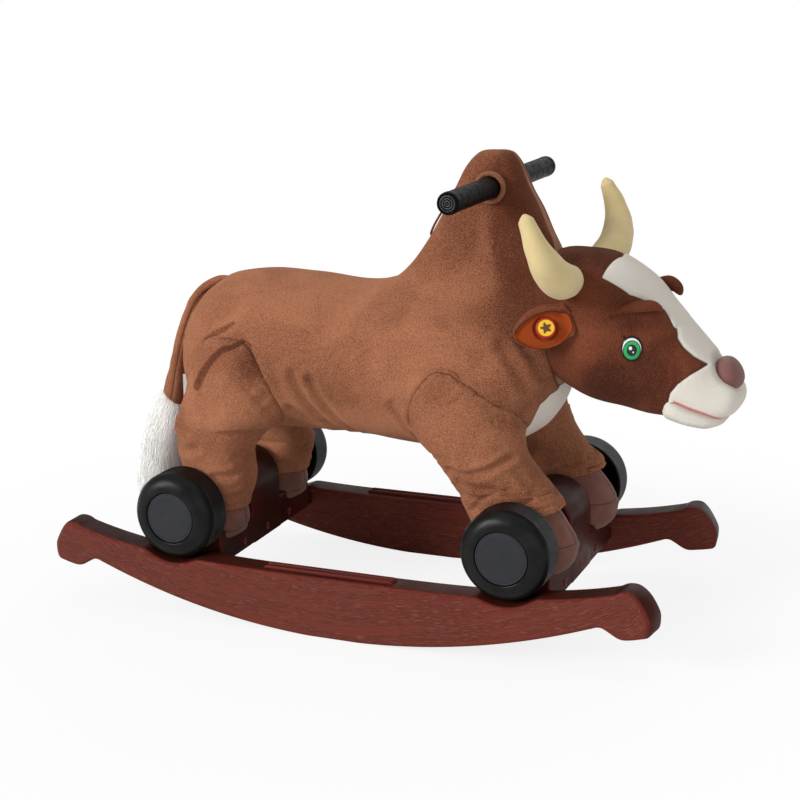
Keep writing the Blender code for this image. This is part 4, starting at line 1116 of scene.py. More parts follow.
@dataclass
class Wheel:
    """A blow-moulded wheel with a finely ribbed tread, a round shoulder and a flat hub disc."""

    end: End
    side: Side
    finishes: Finishes
    height: float = 0.1436
    radius: float = 0.06
    outer: float = 0.1936
    ring: float = 0.0362
    ribs: int = 150
    flank: float = 0.1735
    hub: Line = (
        (0.0348, 0.1872), (0.035, 0.1915), (0.0346, 0.1925), (0.0338, 0.193), (0.0328, 0.1931),
        (0.0322, 0.1927), (0.0316, 0.193), (0.03, 0.1931), (0.02, 0.1932), (0.01, 0.1932),
        (0.0008, 0.1932))

    def profile(self) -> Array:
        """Half section from the hollow inner side, over the tread and shoulder, to the hub ring."""
        hollow = np.array([(0.006, 0.146), (0.013, 0.1462), (0.014, 0.148), (0.0145, 0.168),
                           (0.02, 0.17), (0.047, 0.17), (0.0505, 0.168), (0.0525, 0.15),
                           (0.0555, 0.1428), (0.0575, 0.142), (0.0592, 0.1424), (0.06, 0.1438)])
        reach, depth = self.radius - self.ring - 0.0006, self.outer - self.flank
        a = np.linspace(0.06, math.pi / 2, 22)
        shoulder = together(self.ring + 0.0006 + reach * np.cos(a) ** 0.92,
                            self.flank + depth * np.sin(a))
        tread = together(self.radius, np.linspace(0.146, 0.173, 9))
        lip = [(self.ring, 0.1932), (self.ring - 0.0004, 0.1918), (0.0354, 0.1868), (0.006, 0.1866)]
        return np.vstack([hollow, tread, shoulder, lip])

    def build(self) -> None:
        """The wheel, ribbed by lowering every other step of the tread, and its hub disc."""
        label = f"{self.end.label}_{self.side.label}"
        name, body = f"{label}_wheel", f"{label}_wheel_set"
        sign, centre = self.side.value, np.array((self.end.value, 0.0, self.height))
        profile = self.profile()
        columns = self.ribs * 4
        grid = turned(profile * (1, sign), columns, centre)
        wave = np.sin(np.arange(columns) * 2 * math.pi / 4 + 0.6) * 0.5 - 0.5
        across = profile[:, 1]
        tread = ((profile[:, 0] > 0.0585) * (1 - ease(0.1725, 0.179, across))
                 * ease(0.1425, 0.1445, across))
        grid = pushed(grid, 0.0009 * tread[:, None] * wave, unit((grid - centre) * (1, 0, 1)))
        wheel = Skin(name).add(grid, close=False)
        first = np.arange(columns)
        last = first + (len(profile) - 1) * columns
        bore = np.stack([last, np.roll(last, -1), np.roll(first, -1), first], axis=1)
        wheel.faces += (bore if self.side is Side.LEFT else bore[:, ::-1]).tolist()
        mount(wheel.make(40), self.finishes.tyre, name, body=body)
        disc = turned(np.array(self.hub) * (1, sign), 96, centre)
        name = f"{label}_hub_cap"
        mount(Skin(name).add(disc).make(40), self.finishes.hub, name, body=body)


@dataclass
class Handlebar:
    """The two grips on the handlebar, and the sewn collars where they enter the hump."""

    finishes: Finishes
    x: float = 0.1718
    z: float = 0.585
    radius: float = 0.0139
    end: float = 0.191

    def build(self) -> None:
        """Grips, end caps and collars on both sides."""
        end = self.end
        length = together(self.radius, np.linspace(0.033, end - 0.014, 40))
        rim = [(0.0139, end - 0.0125), (0.0143, end - 0.0112), (0.0143, end - 0.006),
               (0.0141, end - 0.003), (0.0134, end - 0.001), (0.0122, end),
               (0.0113, end - 0.0002), (0.0108, end - 0.001)]
        profile = np.vstack([[(0.01, 0.0265), (0.015, 0.0265), (0.0151, 0.0295),
                              (0.0141, 0.0315)], length, rim])
        share = np.linspace(1.0, 0.02, 24)
        cap = np.vstack([(0.0109, end - 0.004),
                         together(0.0109 * share, end - 0.001 + 0.0003 * np.cos(share * 22))])
        angle = angles(16)
        ring = together(0.0178 + 0.0034 * np.cos(angle), 0.0405 + 0.0042 * np.sin(angle))
        for side in Side:
            name, flip, centre = f"{side.label}_grip", (1, side.value), (self.x, 0.0, self.z)
            grid = turned(profile * flip, 64, centre)
            mount(Skin(name).add(grid).make(50), self.finishes.grip, name)
            grid = turned(cap * flip, 64, centre)
            mount(Skin(f"{name}_end").add(grid).make(50), self.finishes.grip_end, slot="grip_rubber")
            grid = turned(ring * flip, 72, centre).transpose(1, 0, 2)
            grid = np.concatenate([grid, grid[:1]])
            skin = Skin(f"{name}_collar").add(grid, {**plush_fields(-0.2), "tan": 0.15}, close=False)
            mount(skin.make(merge=MERGE), self.finishes.plush)


# Stuffed forms


def plush_fields(nap: float | Array = 0.0) -> Fields:
    """The plush's stored values where a form has no seams or panels."""
    return {"nap": nap, "seam": FAR, "white": -FAR, "tan": 0.0}


def soft(name: str, grid: Array, fields: Fields, material: Material, fill: float,
         **more: str) -> None:
    """Makes one stuffed piece that stands for the solid of its name."""
    mount(Skin(name).add(grid, fields).make(), material, name, fill=fill, **more)


def folded(grid: Array, folds: Folds) -> Array:
    """Push of folds seen from the side: each sinks as a bell curve, with a low ridge on both sides.

    Args:
        grid: points of the skin.
        folds: for each fold its line in x and z, its depth and its half width.
    """
    total = np.zeros(grid.shape[:2])
    for line, depth, width in folds:
        near = line_distance(from_side(grid), line) / width
        total += depth * (0.5 * bell(near - 1.9, 1.0) - bell(near, 1.0))
    return total


def spots(x: Array, z: Array, marks: Line) -> Array:
    """Sum of soft oval marks, each with its x, z, half width, half height and strength."""
    return sum(depth * bell(x - px, wide) * bell(z - pz, tall) for px, pz, wide, tall, depth in marks)


def streak(grid: Array, line: Line, strength: float = 0.52) -> Array:
    """A dark streak along a line, wide where it starts and thin where it ends."""
    share = (grid[..., 0] - line[0][0]) / (line[-1][0] - line[0][0])
    wide = 0.0076 - 0.0052 * np.clip(share, 0.0, 1.0)
    return -strength * ease(1.15, 0.65, line_distance(from_side(grid), line) / wide)


@dataclass
class Barrel:
    """The body with its shoulder hump: one stuffed skin from rump to chest."""

    finishes: Finishes
    rows: int = 300
    half_columns: int = 130
    back: float = 0.453
    hump_root: float = 0.393
    hump_taper: float = 0.135
    hump_share: float = 0.92
    sewn_top: float = 0.385
    sewn_reach: float = 0.04
    leg_half: float = 0.05
    stations: Line = (
        (-0.2905, 0.346, 0.3465, 0.0001, 0.0),
        (-0.289, 0.322, 0.37, 0.028, 0.0),
        (-0.285, 0.294, 0.387, 0.051, 0.0),
        (-0.274, 0.267, 0.407, 0.073, 0.0),
        (-0.254, 0.248, 0.43, 0.091, 0.0),
        (-0.222, 0.238, 0.449, 0.103, 0.0),
        (-0.165, 0.235, 0.457, 0.108, 0.0),
        (-0.1, 0.236, 0.454, 0.108, 0.0),
        (-0.05, 0.237, 0.45, 0.106, 0.0),
        (0.0, 0.235, 0.45, 0.106, 0.002),
        (0.028, 0.232, 0.459, 0.108, 0.008),
        (0.05, 0.23, 0.48, 0.11, 0.016),
        (0.072, 0.229, 0.51, 0.112, 0.023),
        (0.094, 0.229, 0.546, 0.114, 0.029),
        (0.112, 0.23, 0.58, 0.115, 0.033),
        (0.128, 0.231, 0.609, 0.115, 0.036),
        (0.145, 0.232, 0.626, 0.115, 0.038),
        (0.168, 0.235, 0.629, 0.114, 0.039),
        (0.188, 0.24, 0.627, 0.112, 0.038),
        (0.2, 0.245, 0.612, 0.11, 0.036),
        (0.213, 0.252, 0.583, 0.106, 0.033),
        (0.226, 0.26, 0.56, 0.101, 0.031),
        (0.238, 0.27, 0.533, 0.093, 0.03),
        (0.25, 0.286, 0.509, 0.08, 0.028),
        (0.262, 0.31, 0.48, 0.06, 0.024),
        (0.27, 0.345, 0.445, 0.034, 0.016),
        (0.272, 0.39, 0.3905, 0.0001, 0.0005),
    )

    def flank(self, x: Array, z: Array) -> Array:
        """Half width of the body at a place seen from the side.

        The barrel is an ellipse between the underside and the back. The hump stands on it, its
        width falling from the flank's to the ridge's as a quarter sine, and its crown rounded by a
        tenth power. The two are joined by the sixth root of the sum of their sixth powers.
        """
        table = np.asarray(self.stations)
        knots = np.arange(len(table), dtype=float)
        at = np.interp(x, table[:, 0], knots).ravel()
        low, top, wide, ridge = (v.reshape(x.shape) for v in through(knots, table[:, 1:], at).T)
        shoulder = np.where(x > -0.04, np.minimum(top, self.back), top)
        centre, half = (low + shoulder) / 2, np.maximum((shoulder - low) / 2, 1e-5)
        level = np.clip((z - centre) / half, -1.0, 1.0)
        barrel = wide * np.sqrt(1 - level**2)
        share = np.clip((z - centre) / np.maximum(top - centre, 1e-5), 0.0, 1.0)
        taper = np.clip((z - self.hump_root) / self.hump_taper, 0.0, 1.0)
        root = wide * self.hump_share
        hump = (root + (ridge - root) * np.sin(taper * math.pi / 2)) * np.sqrt(1 - share**10)
        hump = np.maximum(hump, 0) * ease(-0.05, 0.0, x) * ease(-0.01, 0.075, z - centre)
        return (barrel**6 + hump**6) ** (1 / 6)

    def grid(self) -> Array:
        """Even steps round each section, from the belly up one side and down the other."""
        spread = np.array((1.0, 0.7, 0.7))
        line = even_steps(refined(self.stations, 4000)[:, :3] * spread, self.rows)
        x, low, top = (line / spread).T[..., None]
        z = (low + top) / 2 - (top - low) / 2 * np.cos(np.linspace(0.0, math.pi, 500))
        section = together(self.flank(np.broadcast_to(x, z.shape), z), z)
        section[:, (0, -1), 0] = 0.0
        half = even_rows(section, self.half_columns)
        y, z = axes(np.concatenate([half * (-1, 1), half[:, -2:0:-1]], axis=1))
        return together(x, y, z)

    def build(self, legs: Sequence["Leg"]) -> None:
        """The skin with its seams, panels, brushed nap with painted light and sheen, creases, and the
        hump's piping.
        """
        grid = self.grid()
        x, y, z = axes(grid)
        reach = np.abs(y)
        push = 0.0013 * lumps(grid, 0.085) * ease(0.0, 0.03, reach)
        push += folded(grid, FLANK_FOLDS) * ease(0.02, 0.06, reach)
        sewn = []
        for leg in legs:
            outside = leg.outside(grid)
            near = (z < self.sewn_top) & (reach > self.sewn_reach)
            sewn.append(np.where(near, along_skin(grid, outside), FAR))
            push += np.where(near & (y * leg.side.value > 0), filled(outside * self.leg_half, FILLET), 0.0)
        joined = nearest(*sewn)
        push += 0.001 * bell(joined - 0.009, 0.005) - 0.0026 * bell(joined, 0.003)
        front = (x > 0.18) & (z > 0.49)
        gusset = reach - np.interp(z, (0.5, 0.52, 0.545, 0.578, 0.604, 0.63),
                                   (0.016, 0.009, 0.0075, 0.005, 0.003, 0.0025))
        belly = self.belly_panel(grid)
        strip = np.where(belly < 0, x - (0.258 + 0.08 * np.clip(0.39 - z, 0.0, 0.1)), -FAR)
        fields = {
            "nap": self.nap(grid),
            "seam": nearest(np.where(front, gusset, FAR), np.where(z < 0.36, belly, FAR),
                            np.where(z < 0.4, strip, FAR)),
            "white": belly,
            # Painted sheen: the neck gusset and the chest front, seen edge-on, are made paler.
            "tan": np.maximum(np.where(front, ease(0.001, -0.001, gusset), 0.0) * 0.45,
                              ease(-0.0008, 0.0008, strip) * (z < 0.42) * 0.55)}
        soft("body_plush", pushed(grid, push), fields, self.finishes.plush, 0.9)
        route = even_curve([(0.0745, 0.0, 0.513), (0.0735, 0.0, 0.5165), (0.079, 0.0, 0.5285),
                            (0.0895, 0.0, 0.5455), (0.102, 0.0, 0.566), (0.112, 0.0, 0.579)], 60)
        piping = Skin("hump_piping").add(swept(route, 0.0016, 12), plush_fields(-0.35))
        mount(piping.make(), self.finishes.plush)

    def belly_panel(self, grid: Array) -> Array:
        """Signed distance inside the white panel that runs under the belly and up the chest."""
        x, y, z = axes(grid)
        wide = np.interp(x, (-0.22, -0.18, 0.0, 0.16, 0.195, 0.2146, 0.2267, 0.2469, 0.256, 0.2636,
                             0.268),
                         (0.0, 0.03, 0.033, 0.036, 0.041, 0.05, 0.063, 0.065, 0.053, 0.035,
                          0.01))
        return np.where(z < 0.37, np.minimum(wide - np.abs(y), 0.345 - z), -FAR)

    def nap(self, grid: Array) -> Array:
        """Brush marks with painted light and shade, lighter where positive: a dark hump front, a pale
        back, streaks on the rump.
        """
        x, y, z = axes(grid)
        edge = 0.168 + 0.35 * (z - 0.613) * (z > 0.58) + 0.25 * np.clip(0.52 - z, 0, 0.2)
        # The dark front of the hump, near the ear and head, is partly its nap and partly painted shade.
        mark = -0.3 * ease(-0.004, 0.01, x - edge) * ease(0.42, 0.5, z)
        for strength, x_from, x_to, z_from, z_to in (
                (-0.17, 0.07, 0.12, 0.44, 0.5), (-0.16, 0.13, 0.22, 0.38, 0.45),
                (0.16, 0.05, 0.0, 0.3, 0.4)):
            mark += strength * ease(x_from, x_to, x) * ease(z_from, z_to, z)
        # BODY_MARKS also paint a lit band low on the belly and shade under the ear.
        mark += 0.02 * ease(-0.15, -0.26, x) + spots(x, z, BODY_MARKS)
        return mark + streak(grid, BODY_STREAK) * (y < 0)


@dataclass
class Leg:
    """A stuffed leg sewn to the flank, and the smooth hoof under its hem.

    Stations run from the top down: height, x of the rear and front, |y| of the inner and outer.
    """

    name: str
    side: Side
    finishes: Finishes
    stations: Line
    hoof: Line
    folds: Folds
    marks: Line
    hem_lean: float
    streak: Line = ()
    rows: int = 170
    columns: int = 150
    blunt: float = 2.3
    spare: float = 0.035
    most: float = 0.0045

    def ring(self, z: Array) -> tuple[Array, Array, Array, Array]:
        """Middle x, middle |y| and both half axes at each height."""
        table = np.asarray(self.stations)[::-1]
        rear, front, inner, outer = through(table[:, 0], table[:, 1:], z).T
        return (rear + front) / 2, (inner + outer) / 2, (front - rear) / 2, (outer - inner) / 2

    def limb(self, table: Line, count: int) -> Array:
        """Level ovals: x = cx + rx c(a), y = cy + ry s(a), with c and s those of a blunt oval."""
        z, rear, front, inner, outer = even_steps(refined(table, 1200), count).T[..., None]
        c, s = oval(self.columns, self.blunt)
        x = (rear + front) / 2 + (front - rear) / 2 * c
        y = (inner + outer) / 2 + (outer - inner) / 2 * s
        return together(x, self.side.value * y, z)

    def outside(self, grid: Array) -> Array:
        """How far the points of the body lie outside this leg's level oval, nought on its skin."""
        x, y, z = axes(grid)
        at = np.clip(z, self.stations[-1][0], self.stations[0][0] - 0.001)
        cx, cy, rx, ry = (v.reshape(z.shape) for v in self.ring(at.ravel()))
        power = (np.abs((x - cx) / rx) ** self.blunt
                 + np.abs((self.side.value * y - cy) / ry) ** self.blunt)
        return power ** (1 / self.blunt) - 1

    def build(self, body: Barrel) -> None:
        """The leg with its folds and hem, then the hoof."""
        grid = self.limb(self.stations, self.rows)
        height = grid[..., 2] - self.stations[-1][0]
        buried = np.abs(grid[..., 1]) - body.flank(grid[..., 0], grid[..., 2])
        held = np.maximum(ease(0.012, 0.0, height), ease(0.01, -0.004, buried) * (height > 0.05))
        grid = grid + settled(grid, held, self.spare, self.most)
        grid[..., 2] += self.hem_lean * (grid[..., 0] - grid[-1, :, 0].mean()) * np.exp(-height / 0.03)
        normal = normals_of(grid)
        x, y, z = axes(grid)
        gap = np.abs(y) - body.flank(x, z)
        cover = along_skin(grid, gap)
        push = 0.0016 * lumps(grid, 0.075, 1.0) + 0.0016 * bell(height, 0.006)
        push += folded(grid, self.folds) * ease(-0.1, 0.6, self.side.value * normal[..., 1])
        upper = height > 0.06
        push += upper * (filled(gap, FILLET) * ease(0.06, 0.1, height)
                         + 0.001 * bell(cover - 0.009, 0.006) - 0.0016 * bell(cover - 0.003, 0.002))
        fields = plush_fields(spots(x, z, self.marks))
        fields["seam"] = np.where(upper, cover - 0.003, FAR)
        if self.streak:
            fields["nap"] += streak(grid, self.streak)
        soft(self.name + "_leg", pushed(grid, push, normal), fields, self.finishes.plush, 0.85)
        self.build_hoof()

    def build_hoof(self) -> None:
        """The hoof, with a seam down its front and another round its sole."""
        table = np.asarray(self.hoof)
        last = table[-1]
        middle = np.repeat((last[1::2] + last[2::2]) / 2, 2)
        sole = [(last[0] - drop, *(middle + (last[1:] - middle) * s))
                for drop, s in ((0.0022, 0.7), (0.003, 0.35), (0.0032, 0.05))]
        rise = table[0] + (0.016, 0.01, -0.01, 0.006, -0.006)
        grid = self.limb(np.vstack([rise, table, sole]), 90)
        grid[..., 2] += (self.hem_lean * (grid[..., 0] - grid[..., 0].mean())
                         * np.exp(-(rise[0] - grid[..., 2]) / 0.02))
        normal = normals_of(grid)
        level = grid[..., 2] - (table[2, 0] * 0.35 + table[3, 0] * 0.65)
        across = np.abs(grid[..., 1]) - (table[2, 3] + table[2, 4]) / 2
        seam = nearest(level, np.where((normal[..., 0] > 0.2) & (level > 0), across, FAR))
        push = 0.0008 * lumps(grid, 0.05, 2.0) - 0.0015 * bell(seam, 0.0022)
        push += 0.0012 * bell(level + 0.006, 0.004)
        soft(self.name + "_hoof", pushed(grid, push, normal), {"seam": seam}, self.finishes.hoof, 0.8)


FLANK_FOLDS = (
    (((-0.086, 0.335), (-0.074, 0.3), (-0.058, 0.27), (-0.046, 0.248)), 0.005, 0.007),
    (((-0.06, 0.33), (-0.05, 0.302), (-0.038, 0.274), (-0.026, 0.25)), 0.004, 0.0065),
    (((-0.098, 0.285), (-0.08, 0.267), (-0.06, 0.256)), 0.0034, 0.0055),
    (((0.058, 0.305), (0.072, 0.275), (0.09, 0.25)), 0.003, 0.006),
    (((0.205, 0.395), (0.226, 0.366), (0.238, 0.335)), 0.003, 0.0065),
    (((0.228, 0.402), (0.246, 0.376), (0.252, 0.35)), 0.0026, 0.005),
)
# Marks on the body: x, z, half width, half height and strength. The dark one at x 0.215, z 0.425 is
# painted shade under the ear; the light band at z 0.262 is painted light on the lower belly.
BODY_MARKS = ((0.205, 0.3, 0.03, 0.05, -0.2), (0.215, 0.425, 0.04, 0.045, -0.22),
              (0.09, 0.33, 0.05, 0.05, 0.1), (-0.05, 0.4, 0.09, 0.03, -0.08),
              (0.06, 0.4, 0.06, 0.04, 0.08), (-0.02, 0.262, 0.08, 0.026, 0.45))
BODY_STREAK = ((-0.219, 0.368), (-0.207, 0.379), (-0.195, 0.387), (-0.178, 0.398))


FRONT_LEG = (
    (0.359, 0.126, 0.144, 0.064, 0.094), (0.355, 0.111, 0.156, 0.054, 0.114),
    (0.345, 0.098, 0.168, 0.046, 0.122), (0.332, 0.089, 0.187, 0.042, 0.127),
    (0.315, 0.084, 0.204, 0.04, 0.131), (0.3, 0.082, 0.219, 0.04, 0.133),
    (0.284, 0.083, 0.229, 0.041, 0.134), (0.268, 0.088, 0.232, 0.043, 0.135),
    (0.245, 0.108, 0.241, 0.046, 0.135), (0.215, 0.138, 0.264, 0.05, 0.134),
    (0.192, 0.152, 0.282, 0.052, 0.133), (0.18, 0.161, 0.286, 0.053, 0.133),
    (0.17, 0.168, 0.287, 0.053, 0.133),
)
HIND_LEG = (
    (0.376, -0.197, -0.164, 0.06, 0.094), (0.372, -0.212, -0.152, 0.05, 0.114),
    (0.362, -0.228, -0.14, 0.044, 0.123), (0.348, -0.24, -0.132, 0.042, 0.128),
    (0.33, -0.247, -0.125, 0.041, 0.132), (0.312, -0.252, -0.12, 0.04, 0.135),
    (0.29, -0.259, -0.117, 0.041, 0.136), (0.274, -0.265, -0.118, 0.042, 0.136),
    (0.26, -0.271, -0.127, 0.044, 0.136), (0.245, -0.273, -0.145, 0.046, 0.135),
    (0.215, -0.269, -0.161, 0.05, 0.134), (0.195, -0.268, -0.161, 0.051, 0.133),
    (0.18, -0.273, -0.161, 0.052, 0.133),
    (0.15, -0.284, -0.169, 0.053, 0.132), (0.1365, -0.282, -0.173, 0.054, 0.131),
)
FRONT_HOOF = (
    (0.1755, 0.178, 0.279, 0.057, 0.129), (0.165, 0.18, 0.288, 0.055, 0.132),
    (0.15, 0.181, 0.299, 0.053, 0.134), (0.135, 0.182, 0.306, 0.052, 0.135),
    (0.116, 0.188, 0.303, 0.053, 0.134), (0.104, 0.198, 0.294, 0.057, 0.13),
    (0.098, 0.21, 0.282, 0.064, 0.122),
)
HIND_HOOF = (
    (0.1375, -0.279, -0.178, 0.057, 0.128), (0.128, -0.285, -0.175, 0.054, 0.132),
    (0.114, -0.287, -0.175, 0.053, 0.133), (0.102, -0.28, -0.18, 0.054, 0.132),
    (0.094, -0.268, -0.189, 0.058, 0.129), (0.089, -0.252, -0.205, 0.066, 0.12),
)
FRONT_FOLDS = (
    (((0.146, 0.233), (0.17, 0.229), (0.198, 0.237), (0.226, 0.254)), 0.0042, 0.0048),
    (((0.16, 0.222), (0.184, 0.212), (0.21, 0.214)), 0.003, 0.0045),
    (((0.15, 0.208), (0.172, 0.198), (0.196, 0.202)), 0.0018, 0.004),
    (((0.236, 0.236), (0.25, 0.222), (0.262, 0.216)), 0.002, 0.0045),
)
HIND_FOLDS = (
    (((-0.266, 0.236), (-0.244, 0.222), (-0.222, 0.228)), 0.0032, 0.0055),
    (((-0.156, 0.205), (-0.176, 0.19), (-0.198, 0.189)), 0.003, 0.005),
    (((-0.262, 0.262), (-0.25, 0.252), (-0.236, 0.25)), 0.002, 0.0045),
    (((-0.168, 0.16), (-0.19, 0.155), (-0.212, 0.16)), 0.0018, 0.0045),
)
FRONT_MARKS = ((0.15, 0.335, 0.05, 0.02, -0.1), (0.185, 0.218, 0.03, 0.016, -0.18),
               (0.225, 0.2, 0.02, 0.02, -0.16), (0.14, 0.29, 0.05, 0.04, 0.18),
               (0.21, 0.205, 0.012, 0.008, 0.2))
HIND_MARKS = ((-0.144, 0.345, 0.013, 0.02, -0.34), (-0.208, 0.24, 0.022, 0.014, -0.12),
              (-0.212, 0.16, 0.03, 0.014, -0.1), (-0.19, 0.29, 0.05, 0.05, 0.2),
              (-0.215, 0.18, 0.05, 0.05, 0.42), (-0.16, 0.172, 0.01, 0.02, -0.18),
              (-0.244, 0.262, 0.014, 0.012, -0.14))
HIND_STREAK = ((-0.219, 0.316), (-0.207, 0.336), (-0.195, 0.353), (-0.183, 0.3655), (-0.16, 0.3715))
LEGS = {"front": (FRONT_LEG, FRONT_HOOF, FRONT_FOLDS, FRONT_MARKS, 0.28),
        "hind": (HIND_LEG, HIND_HOOF, HIND_FOLDS, HIND_MARKS, 0.03, HIND_STREAK)}
HEAD_FOLDS = (
    (((0.346, 0.078, 0.436), (0.371, 0.072, 0.439), (0.39, 0.058, 0.441), (0.404, 0.04, 0.436)),
     0.004, 0.003),
    (((0.34, 0.074, 0.447), (0.358, 0.066, 0.459), (0.376, 0.055, 0.4625)), 0.0016, 0.003),
    (((0.318, 0.083, 0.372), (0.334, 0.082, 0.352), (0.356, 0.076, 0.34)), 0.0014, 0.006),
    (((0.398, 0.064, 0.392), (0.41, 0.062, 0.374), (0.416, 0.061, 0.356)), 0.0012, 0.006),
)
# Marks on the head: x, z, half width, half height and strength. The thin dark one at z 0.425 is painted
# shade under the brow.
HEAD_MARKS = ((0.28, 0.5, 0.035, 0.016, -0.3), (0.322, 0.44, 0.03, 0.026, 0.26),
              (0.345, 0.345, 0.05, 0.03, -0.14), (0.4, 0.36, 0.03, 0.026, 0.1),
              (0.3, 0.4, 0.026, 0.05, 0.14), (0.372, 0.425, 0.024, 0.008, -0.16))


def make_legs(finishes: Finishes) -> list[Leg]:
    """The four legs."""
    return [Leg(f"{name}_{side.label}", side, finishes, *plan)
            for side in Side for name, plan in LEGS.items()]


@dataclass
class Head:
    """The stuffed head: skull and muzzle in one skin, with jaw, nose, eyes, horns and ears."""

    finishes: Finishes
    rows: int = 280
    columns: int = 230
    stations: Line = (
        (0.2265, 0.43, 0.431, 0.0005), (0.228, 0.392, 0.478, 0.042),
        (0.24, 0.366, 0.495, 0.062), (0.262, 0.344, 0.505, 0.077),
        (0.292, 0.325, 0.506, 0.085), (0.325, 0.315, 0.501, 0.086),
        (0.355, 0.309, 0.487, 0.08), (0.383, 0.303, 0.464, 0.071),
        (0.408, 0.3, 0.435, 0.063), (0.432, 0.299, 0.408, 0.057),
        (0.456, 0.3, 0.384, 0.053), (0.474, 0.303, 0.367, 0.048),
        (0.486, 0.309, 0.356, 0.04), (0.4925, 0.32, 0.345, 0.025),
        (0.494, 0.334, 0.335, 0.0005),
    )
    jaw: Line = (
        (0.4005, 0.31, 0.311, 0.001), (0.402, 0.303, 0.323, 0.044),
        (0.406, 0.2975, 0.333, 0.0565), (0.412, 0.2948, 0.336, 0.06),
        (0.419, 0.2928, 0.3325, 0.0602), (0.429, 0.2904, 0.325, 0.058),
        (0.4388, 0.2882, 0.3195, 0.055), (0.448, 0.2874, 0.3157, 0.0515),
        (0.4557, 0.2874, 0.3128, 0.0475), (0.465, 0.2895, 0.3085, 0.0395),
        (0.473, 0.2935, 0.305, 0.028), (0.4775, 0.299, 0.301, 0.001),
    )
    mouth: Line = (
        (0.4204, 0.3285), (0.4388, 0.3204), (0.4557, 0.3142), (0.472, 0.3066), (0.496, 0.3062))
    nose: tuple[float, float, float] = (0.473, 0.0, 0.354)
    eye_radius: float = 0.0158

    def grid(self, table: Line, rows: int, top: float, under: float,
             taper: float = 0.0) -> Array:
        """Rounded ovals along X, drawn in towards their tops by the taper near the nose."""
        x, low, high, half = even_steps(refined(table, 3000), rows).T[..., None]
        c, s = oval(self.columns, np.where(np.sin(angles(self.columns)) < 0, under, top))
        share = np.clip((s + 1) / 2, 0.0, 1.0)
        narrow = 1 - taper * ease(0.43, 0.472, x) * share**1.6
        return together(x, half * c * narrow, (low + high) / 2 + (high - low) / 2 * s)

    def build(self) -> None:
        """Skull, jaw, nose, eyes, horns and ears."""
        grid = self.grid(self.stations, self.rows, 2.2, 3.4, 0.36)
        x, y, z = axes(grid)
        line = np.array([(0.398, 0.296), (0.404, 0.312), (0.412, 0.325), *self.mouth])
        roof = np.interp(x, *line.T)
        grid[..., 2] = z + ease(0.398, 0.406, x) * np.where(z < roof, (roof - z) * 0.94, 0.0)
        push = 0.0011 * lumps(grid, 0.06, 3.0) * (x < 0.42)
        for path, depth, width in HEAD_FOLDS:
            push -= depth * bell(line_distance(together(x, np.abs(y), z), path), width)
        white = self.white_panel(grid)
        push += 0.0012 * ease(-0.001, 0.004, white) - 0.0014 * bell(white, 0.0018)
        push -= 0.01 * ease(0.04, 0.02, np.linalg.norm(grid - self.nose, axis=-1))
        near = line_distance(from_side(grid), self.mouth)
        # HEAD_MARKS include painted shade under the brows.
        fields = {**plush_fields(-0.08 + spots(x, z, HEAD_MARKS)), "white": white, "seam": white,
                  "lip": ease(0.002, 0.001, near) * (x > 0.415)}
        soft("head_plush", pushed(grid, push), fields, self.finishes.head, 0.9)
        self.build_jaw()
        self.build_nose()
        eye_print = self.eye_material()
        for side in Side:
            self.build_brow(side)
            self.build_eye(side, eye_print)
            self.build_horn(side)
            self.build_ear(side)

    def white_panel(self, grid: Array) -> Array:
        """Signed distance inside the blaze, by its width from above, and the muzzle, from the side."""
        x, y, z = axes(grid)
        outline = [(0.3, 0.56), (0.3, 0.41), (0.4155, 0.416), (0.4196, 0.4052),
                   (0.4272, 0.395), (0.44, 0.3834), (0.4553, 0.3728), (0.4388, 0.3632),
                   (0.4244, 0.3517), (0.4149, 0.3388), (0.412, 0.3266), (0.4055, 0.3053),
                   (0.403, 0.28), (0.56, 0.28), (0.56, 0.56)]
        wide = np.interp(x, (0.325, 0.34, 0.3613, 0.383, 0.3925, 0.4, 0.4047, 0.4113, 0.4188,
                             0.43),
                         (0.059, 0.0589, 0.057, 0.0449, 0.035, 0.031, 0.033, 0.038, 0.045,
                          0.08))
        rear = x - 0.335 + 0.17 * np.abs(y)
        blaze = np.minimum(rear, wide - np.abs(y)) + 0.06 * ease(0.412, 0.388, z)
        blaze = np.where(x < 0.43, blaze, FAR)
        inside = region_distance(from_side(grid), outline)
        return -0.003 * np.logaddexp(-inside / 0.003, -blaze / 0.003)

    def build_jaw(self) -> None:
        """The lower jaw, pink along the lip."""
        grid = self.grid(self.jaw, 100, 3.2, 2.4)
        near = line_distance(from_side(grid), self.mouth)
        fields = {**plush_fields(), "white": FAR,
                  "lip": ease(0.0034, 0.0022, near) * (grid[..., 0] > 0.415)}
        soft("lower_jaw", pushed(grid, 0.0006 * lumps(grid, 0.03, 4.0)), fields,
             self.finishes.fleece, 0.9, body="jaw")

    def build_nose(self) -> None:
        """A knitted nose: a blunt dome turned about its axis, stretched sideways and pinched behind."""
        profile = even_curve([(0.015, -0.01), (0.02, -0.004), (0.0218, 0.003), (0.021, 0.009),
                              (0.0172, 0.0145), (0.01, 0.018), (0.0004, 0.019)], 60)
        grid = turned(profile, 110, (0.0, 0.0, 0.0), (0.84, 0.0, 0.54)) * (1, 1.24, 1)
        pinch = line_distance(grid, [(-0.01, -0.022, -0.002), (0.004, -0.02, -0.014)])
        grid *= (1 - 0.16 * bell(pinch, 0.0034))[..., None]
        soft("nose", grid + self.nose, {"seam": FAR}, self.finishes.nose, 0.95)

